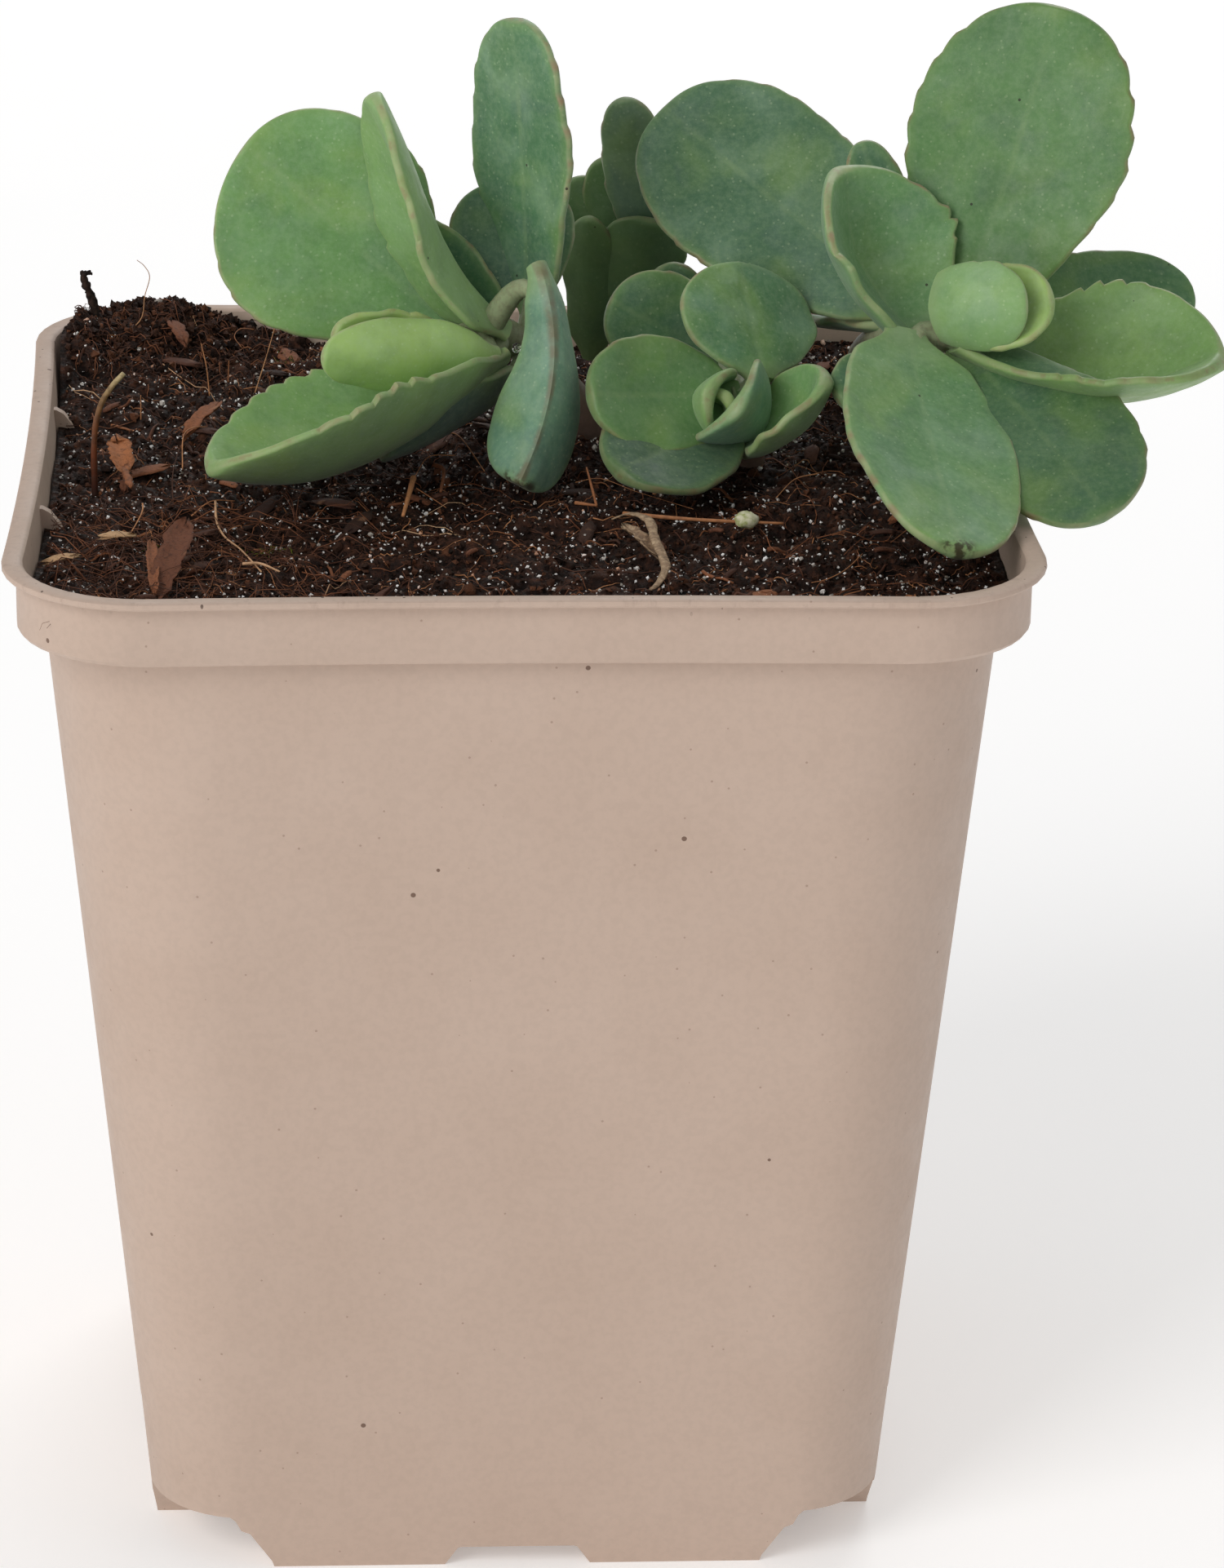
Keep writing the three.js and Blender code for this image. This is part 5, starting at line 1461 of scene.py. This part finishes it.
THREADS = [
    (0.42, 0.84, [(9.3, -15.5, 96.1), (15.8, -18.2, 96.4), (23.4, -18.4, 96.1)]),
    (0.24, 0.96, [(-27, -13.2, 96.6), (-26.8, -18, 96.2), (-26, -22.1, 96.2), (-24.6, -25.2, 96.1),
                  (-22.8, -30.5, 95.9)]),
    (0.30, 0.97, [(-24.4, -29, 96.1), (-22.9, -29.8, 96.4), (-21.2, -30.8, 96.0)]),
    (0.12, 0.93, [(-37.5, 35.5, 97), (-35, 35.3, 99.1), (-34.5, 35.2, 101.6), (-34, 35.2, 103.5),
                  (-34.5, 35.2, 104.6), (-35.2, 35.2, 105.2)]),
    (0.14, 0.85, [(-36.7, 38, 98.2), (-36.6, 37.6, 99.8)]),
    (0.13, 0.88, [(-28.1, 22.4, 95.4), (-28.4, 23.5, 98), (-28.9, 24.5, 100)]),
    (0.13, 0.92, [(-23.8, 23.4, 95.4), (-22.7, 25.4, 98.4), (-21.9, 27, 100.8)]),
    (0.14, 0.80, [(-26.4, 26.2, 95.6), (-26.3, 26.8, 97.6)]),
    (0.14, 0.85, [(-34.4, 14.2, 95.6), (-34.4, 15, 97.8)]),
    (0.11, 0.80, [(-23.7, 40.5, 96.6), (-25.3, 39.5, 97.0), (-25.9, 37.5, 96.8), (-25.2, 35.5, 96.3)]),
    (0.13, 0.90, [(-30.2, -0.8, 95.6), (-30.2, 3.5, 97.3), (-29.4, 6, 97.4), (-28.1, 7.6, 97.0)]),
    (0.16, 0.22, [(-30.8, -11.8, 95.6), (-30.9, -8, 97.4), (-30.4, -4, 98.6)]),
    (0.17, 0.90, [(-33.5, -12.6, 96.2), (-33.4, -15.5, 96.6), (-33.7, -17.6, 96.4), (-34.6, -21.2, 95.8)]),
    (0.15, 0.84, [(-29.1, -14.9, 95.8), (-27.4, -12.6, 96.4), (-25.3, -11.3, 96.0)]),
    (0.13, 0.72, [(-28.8, -16.2, 95.8), (-27, -14.6, 96.3), (-24.8, -13.8, 96.0)]),
    (0.16, 0.86, [(-6.9, 7.9, 96.0), (-4.9, 5.5, 96.8), (-2.7, -3.4, 96.2)]),
    (0.12, 0.86, [(-5.2, 1.9, 96.0), (-7.7, -0.4, 96.6), (-9.1, -4.8, 96.1)]),
    (0.45, 0.64, [(-7.2, 0, 95.7), (-6.4, -2.9, 96.1), (-6.8, -8.2, 95.8)]),
    (0.55, 0.88, [(-9.2, -5.3, 96.2), (-9.7, -10, 96.1), (-10.3, -14.7, 95.7)]),
    (0.10, 0.80, [(-9, -9, 96.4), (-7.5, -11.6, 96.2), (-6.4, -12.8, 95.8)]),
    (0.30, 0.78, [(7.1, -12.6, 95.8), (6.7, -9.6, 97.0), (6.4, -7.4, 97.8)]),
    (0.36, 0.80, [(5.2, -11.8, 95.9), (7.1, -13.2, 96.1)]),
    (0.06, 0.88, [(5.4, -7.4, 96.4), (7.7, -7.9, 96.9), (10.9, -10.6, 96.5), (15.7, -14, 96.0)]),
    (0.12, 0.90, [(27.6, -6.2, 96.8), (25.3, -7.6, 96.7), (23.4, -10.7, 96.0)]),
    (0.12, 0.84, [(29.6, -27.4, 96.3), (27.8, -31, 96.1), (26, -33, 95.9), (24.6, -33.6, 95.8)]),
    (0.12, 0.78, [(34.8, -19.4, 96.2), (32.5, -23.2, 95.9)]),
    (0.07, 0.30, [(-41, -20, 96), (-37.5, -17, 97.2), (-34, -20, 96.4), (-32.6, -27, 95.8)]),
    (0.06, 0.35, [(-41.5, -30, 96), (-38, -22, 97.2), (-34.5, -24, 96.8), (-33.4, -33, 95.7)]),
    (0.06, 0.45, [(-40, -37, 95.8), (-38.4, -28, 97.4), (-36.2, -28, 97.2), (-34.8, -38, 95.8)]),
    (0.07, 0.40, [(-30, -40, 95.6), (-29.4, -30, 96.8), (-25, -26, 96.2)]),
]
threads = Shape()
for row in THREADS:
    add_thread(threads, *row)
make_piece(threads, "straws_and_roots", straw, ["seed_stalk", "pale_root"])

# %% [markdown]
# ## Flakes of bark
# Six larger flakes lie at the left, two of them side by side near the front. They are made like the
# chips, with more rows along them, because at this size every notch in their sides can be seen.

# %% Bark flakes
# place, heading, length, width, thickness, tilt, arch, rows, raggedness, roll, seed and tone
FLAKES = [((-30.4, -31, 96.9), 75, 9.8, 2.5, 0.4, 24, 0.4, 41, 0.3, 0.25, 3.0, 0.62),
          ((-32.1, -31.4, 96.4), 93, 8.5, 1.0, 0.35, 12, 0.5, 35, 0.4, 0.4, 9.0, 0.8),
          ((-35.9, 0.2, 96.4), 99, 5.8, 2.1, 0.35, 12, 0.4, 35, 0.45, 0.3, 5.0, 0.9),
          ((-35.1, -4.6, 96.0), 101, 4.6, 0.7, 0.3, 4, 0.2, 21, 0.5, 0.0, 6.0, 0.82),
          ((-28.6, 11.5, 96.3), 62, 6.4, 1.5, 0.4, 12, 0.5, 25, 0.4, 0.2, 7.0, 0.8),
          ((-31.3, 34.5, 98.0), 110, 4.0, 1.4, 0.4, 14, 0.4, 19, 0.4, 0.1, 2.0, 0.7)]


def add_flake(shape, place, heading, length, width, thick, tilt, arch, rows, ragged, roll, seed, tone):
    heading, tilt = math.radians(heading), math.radians(tilt)
    shape.add(*strip(place, heading, length, width, thick, tilt, arch, rows, ragged, roll, seed), tone=tone)


flakes = Shape()
for row in FLAKES:
    add_flake(flakes, *row)
make_piece(flakes, "bark_flakes", bark, ["bark_flake_long", "bark_flake_small"])

# %% [markdown]
# ## A curled dead leaf
# A dead leaf has dried to a twisted ribbon that lies in the front. It could be a crumpled sheet, but
# what shows is two curled edges side by side, so it is two flattened tubes that twist opposite ways,
# with a torn scrap of the blade between them.

# %% Curled dead leaf
DEAD_PLACES = [(8.1, -18.6, 96.5), (9.7, -18.9, 97.1), (11.1, -21.8, 97.4), (11.4, -26.2, 97.1),
               (12.0, -31.6, 96.6), (11.2, -35.0, 96.2), (10.5, -36.2, 96.0)]
SCRAP = ((10.3, -23.6, 96.2), 118, 5.5, 1.3, 0.3, 10, 0.4, 25, 0.5, 0.25, 11.0, 0.35)
dead = Shape()
dead_line = smooth_line(DEAD_PLACES, 44)
belly = np.sin(np.linspace(0.35, 2.8, 45))
for shift, tone, twist in [(0.0, 0.9, 5.0), (0.22, 0.6, -4.0)]:
    radius = 0.26 * (1 + 0.5 * lumps(dead_line, 1.2, shift=shift)) * belly + 0.08
    dead.add(*skin(tube(dead_line + [shift, shift, 0.1], radius, 8, 0.5, twist)), tone=tone)
add_flake(dead, *SCRAP)
withered = Finish("withered leaf", 0.75, 0.25)
withered.paint(withered.steps(withered.grain(0.7, 4, 0.65, 1.0), (0.32, shade(62, 44, 35)),
                              (0.5, shade(128, 100, 76)), (0.72, shade(192, 168, 138))))
withered.layer(withered.times(withered.value("tone"), 0.25), shade(206, 182, 150))
withered.relief(withered.grain(0.4, 3), 0.1, 0.9)
make_piece(dead, "dead_leaf_curl", withered, ["dead_leaf"])

# %% [markdown]
# ## A little moss
# Three tiny tufts of moss grow where the soil stays moist. Each is 26 short curved shoots that start
# close together, made with the same wandering line as the fibres. A green lump would be quicker, but
# its outline would be smooth.

# %% Moss
MOSS_PLACES = [(-31.6, -21.5), (-22.3, -21.7), (-20.6, 35.8)]
moss = Shape()
for moss_x, moss_y in MOSS_PLACES:
    for _ in range(26):
        x, y = moss_x + chance.normal(0, 0.7), moss_y + chance.normal(0, 0.6)
        line = crooked(x, y, chance.uniform(0, FULL_TURN), chance.uniform(0.6, 1.6), 0.5,
                       0.5 * chance.random(), 4)
        moss.add(*skin(tube(line, 0.07 * (1 - 0.5 * np.linspace(0, 1, 5)), 4)))
green_moss = Finish("moss", 0.8, 0.2)
green_moss.paint(green_moss.steps(green_moss.grain(0.6, 3), (0.35, shade(52, 54, 18)),
                                  (0.7, shade(118, 122, 40))))
green_moss.relief(green_moss.grain(0.3, 2), 0.05, 0.6)
make_piece(moss, "moss_tufts", green_moss)

# %% [markdown]
# ## A pale seed
# A seed the size of a pinhead sits on the straw at the front. It is a ball, a little longer than it is
# high, with its skin pushed in and out. Blender's own sphere could be added, but as rings of points it
# goes through the same helper as everything else.

# %% Seed on the straw
POLE_GAP = 0.08


def round_body(centre, radii, around):
    """A ball with its own radius each way, as rings from the bottom up."""
    (x, y, z), (wide, deep, tall) = centre, radii
    turns = np.linspace(0, FULL_TURN, around + 1)[:-1]
    return skin([[(x + wide * math.sin(p) * math.cos(a), y + deep * math.sin(p) * math.sin(a),
                   z + tall * math.cos(p)) for a in turns]
                 for p in np.linspace(math.pi - POLE_GAP, POLE_GAP, 14)])


seed = Shape()
points, faces = round_body((20.1, -18.3, 96.4), (1.1, 0.95, 0.75), 24)
seed.add(points + 0.1 * lumps(points, 0.6)[:, None], faces)
pale_seed = Finish("pale seed", 0.6, 0.3)
patches = pale_seed.grain(0.7, 3)
pale_seed.paint(pale_seed.steps(patches, (0.35, shade(150, 158, 92)), (0.55, shade(206, 204, 172)),
                                (0.75, shade(232, 228, 206))))
pale_seed.relief(patches, 0.12, 0.8)
make_piece(seed, "pale_seed", pale_seed)

# %% [markdown]
# ## A drop of water
# One clear drop hangs where a leaf meets the folded leaf in front of it. It is less than a millimetre
# wide, so its own surface tension keeps it almost round. Glass-like transmission with the index of
# water bends the light through it; a white highlight painted on would stay still as the camera moves.

# %% Drop of water
drop = Shape()
drop.add(*round_body((0.1, -3.8, 108.0), (0.42, 0.42, 0.46), 20))
water = Finish("water", 0.02, 0.5)
water.fill({"Transmission Weight": 1.0, "IOR": 1.33})
make_piece(drop, "water_drop", water)

# %% [markdown]
# ## The floor
# The plant stands on a plain pale floor that fills the view, so that only its shadow tells where it
# stands. A little glow of its own lifts the floor to near white, as an overexposed backdrop is.
# It belongs to the stage, not to the plant.

# %% Floor
FLOOR_REACH = 12
floor_mesh = bpy.data.meshes.new("floor")
corners = [(x * FLOOR_REACH, y * FLOOR_REACH, 0) for x, y in [(-1, -1), (1, -1), (1, 1), (-1, 1)]]
floor_mesh.from_pydata(corners, [], [(0, 1, 2, 3)])
floor = bpy.data.objects.new("floor", floor_mesh)
bpy.context.scene.collection.objects.link(floor)
paper = Finish("pale floor", 0.8, 0.2)
paper.paint(paper.blend(paper.grain(60, 2), (0.90, 0.90, 0.90, 1), (0.92, 0.92, 0.92, 1)))
paper.fill({"Emission Color": (1.0, 1.0, 1.0, 1.0), "Emission Strength": 0.24})
floor_mesh.materials.append(paper.material)
print("the floor is", 2 * FLOOR_REACH, "m wide")

# %% [markdown]
# ## Light
# The photo was lit softly from the left front. A large area lamp there is the main light, a low one
# beside it reaches under the leaves, weaker ones from the right and from behind open the shadows, and
# a pale sky does the rest. A small lamp or a sun would draw hard shadows that the plant doesn't have.

# %% Lights
# name, place and size in metres, power, colour
LAMPS = [("main light", (-1.05, -1.0, 1.1), 0.9, 11.4, (1.0, 0.98, 0.96)),
         ("low front light", (-0.75, -1.15, 0.12), 0.7, 3.2, (1.0, 0.99, 0.97)),
         ("side light", (1.3, -0.5, 0.7), 0.8, 0.6, (0.96, 0.98, 1.0)),
         ("back light", (0.3, 1.2, 1.0), 0.8, 6, (1.0, 1.0, 1.0))]
LIT_PLACE = Vector((0, 0, 0.08))
for name, place, size, power, colour in LAMPS:
    lamp = bpy.data.lights.new(name, "AREA")
    lamp.size = size
    lamp.energy = power
    lamp.color = colour
    holder = bpy.data.objects.new(name, lamp)
    holder.location = place
    holder.rotation_euler = (LIT_PLACE - Vector(place)).to_track_quat("-Z", "Y").to_euler()
    bpy.context.scene.collection.objects.link(holder)
sky = bpy.data.worlds.new("pale sky")
sky.use_nodes = True
sky.node_tree.nodes["Background"].inputs["Color"].default_value = (1.0, 1.0, 1.0, 1)
sky.node_tree.nodes["Background"].inputs["Strength"].default_value = 0.45
bpy.context.scene.world = sky
bpy.context.scene.view_settings.view_transform = "Standard"
print(len(LAMPS), "lamps of", round(sum(row[3] for row in LAMPS), 1), "watts together")

# %% [markdown]
# ## The camera
# The camera stands half a metre away and looks down at about twenty degrees through a long lens, as in
# a catalogue picture. Its direction and distance were worked out from the corners of the pot, because
# a guess by eye never brings all four corners and the feet into place at once.

# %% Camera
AIM = (-0.03, 0.0, 64.22)
DISTANCE = 516.7
PITCH, YAW, ROLL = math.radians(21.18), math.radians(3.30), math.radians(0.88)
forward = Vector((math.sin(YAW) * math.cos(PITCH), math.cos(YAW) * math.cos(PITCH), -math.sin(PITCH)))
right = Vector((math.cos(YAW), -math.sin(YAW), 0))
up = right.cross(forward)
turned_right = math.cos(ROLL) * right + math.sin(ROLL) * up
turned_up = -math.sin(ROLL) * right + math.cos(ROLL) * up
lens = bpy.data.cameras.new("camera")
lens.sensor_width = 36
lens.lens = 126.31
lens.clip_start = 0.01
lens.clip_end = 60
camera = bpy.data.objects.new("camera", lens)
pose = Matrix((turned_right, turned_up, -forward)).transposed().to_4x4()
pose.translation = (Vector(AIM) - DISTANCE * forward) * MM
camera.matrix_world = pose
bpy.context.scene.collection.objects.link(camera)
bpy.context.scene.camera = camera
print("camera at", [round(c, 3) for c in pose.translation])

# %% [markdown]
# ## The end
# Here the script ends and hands the scene over as it stands.
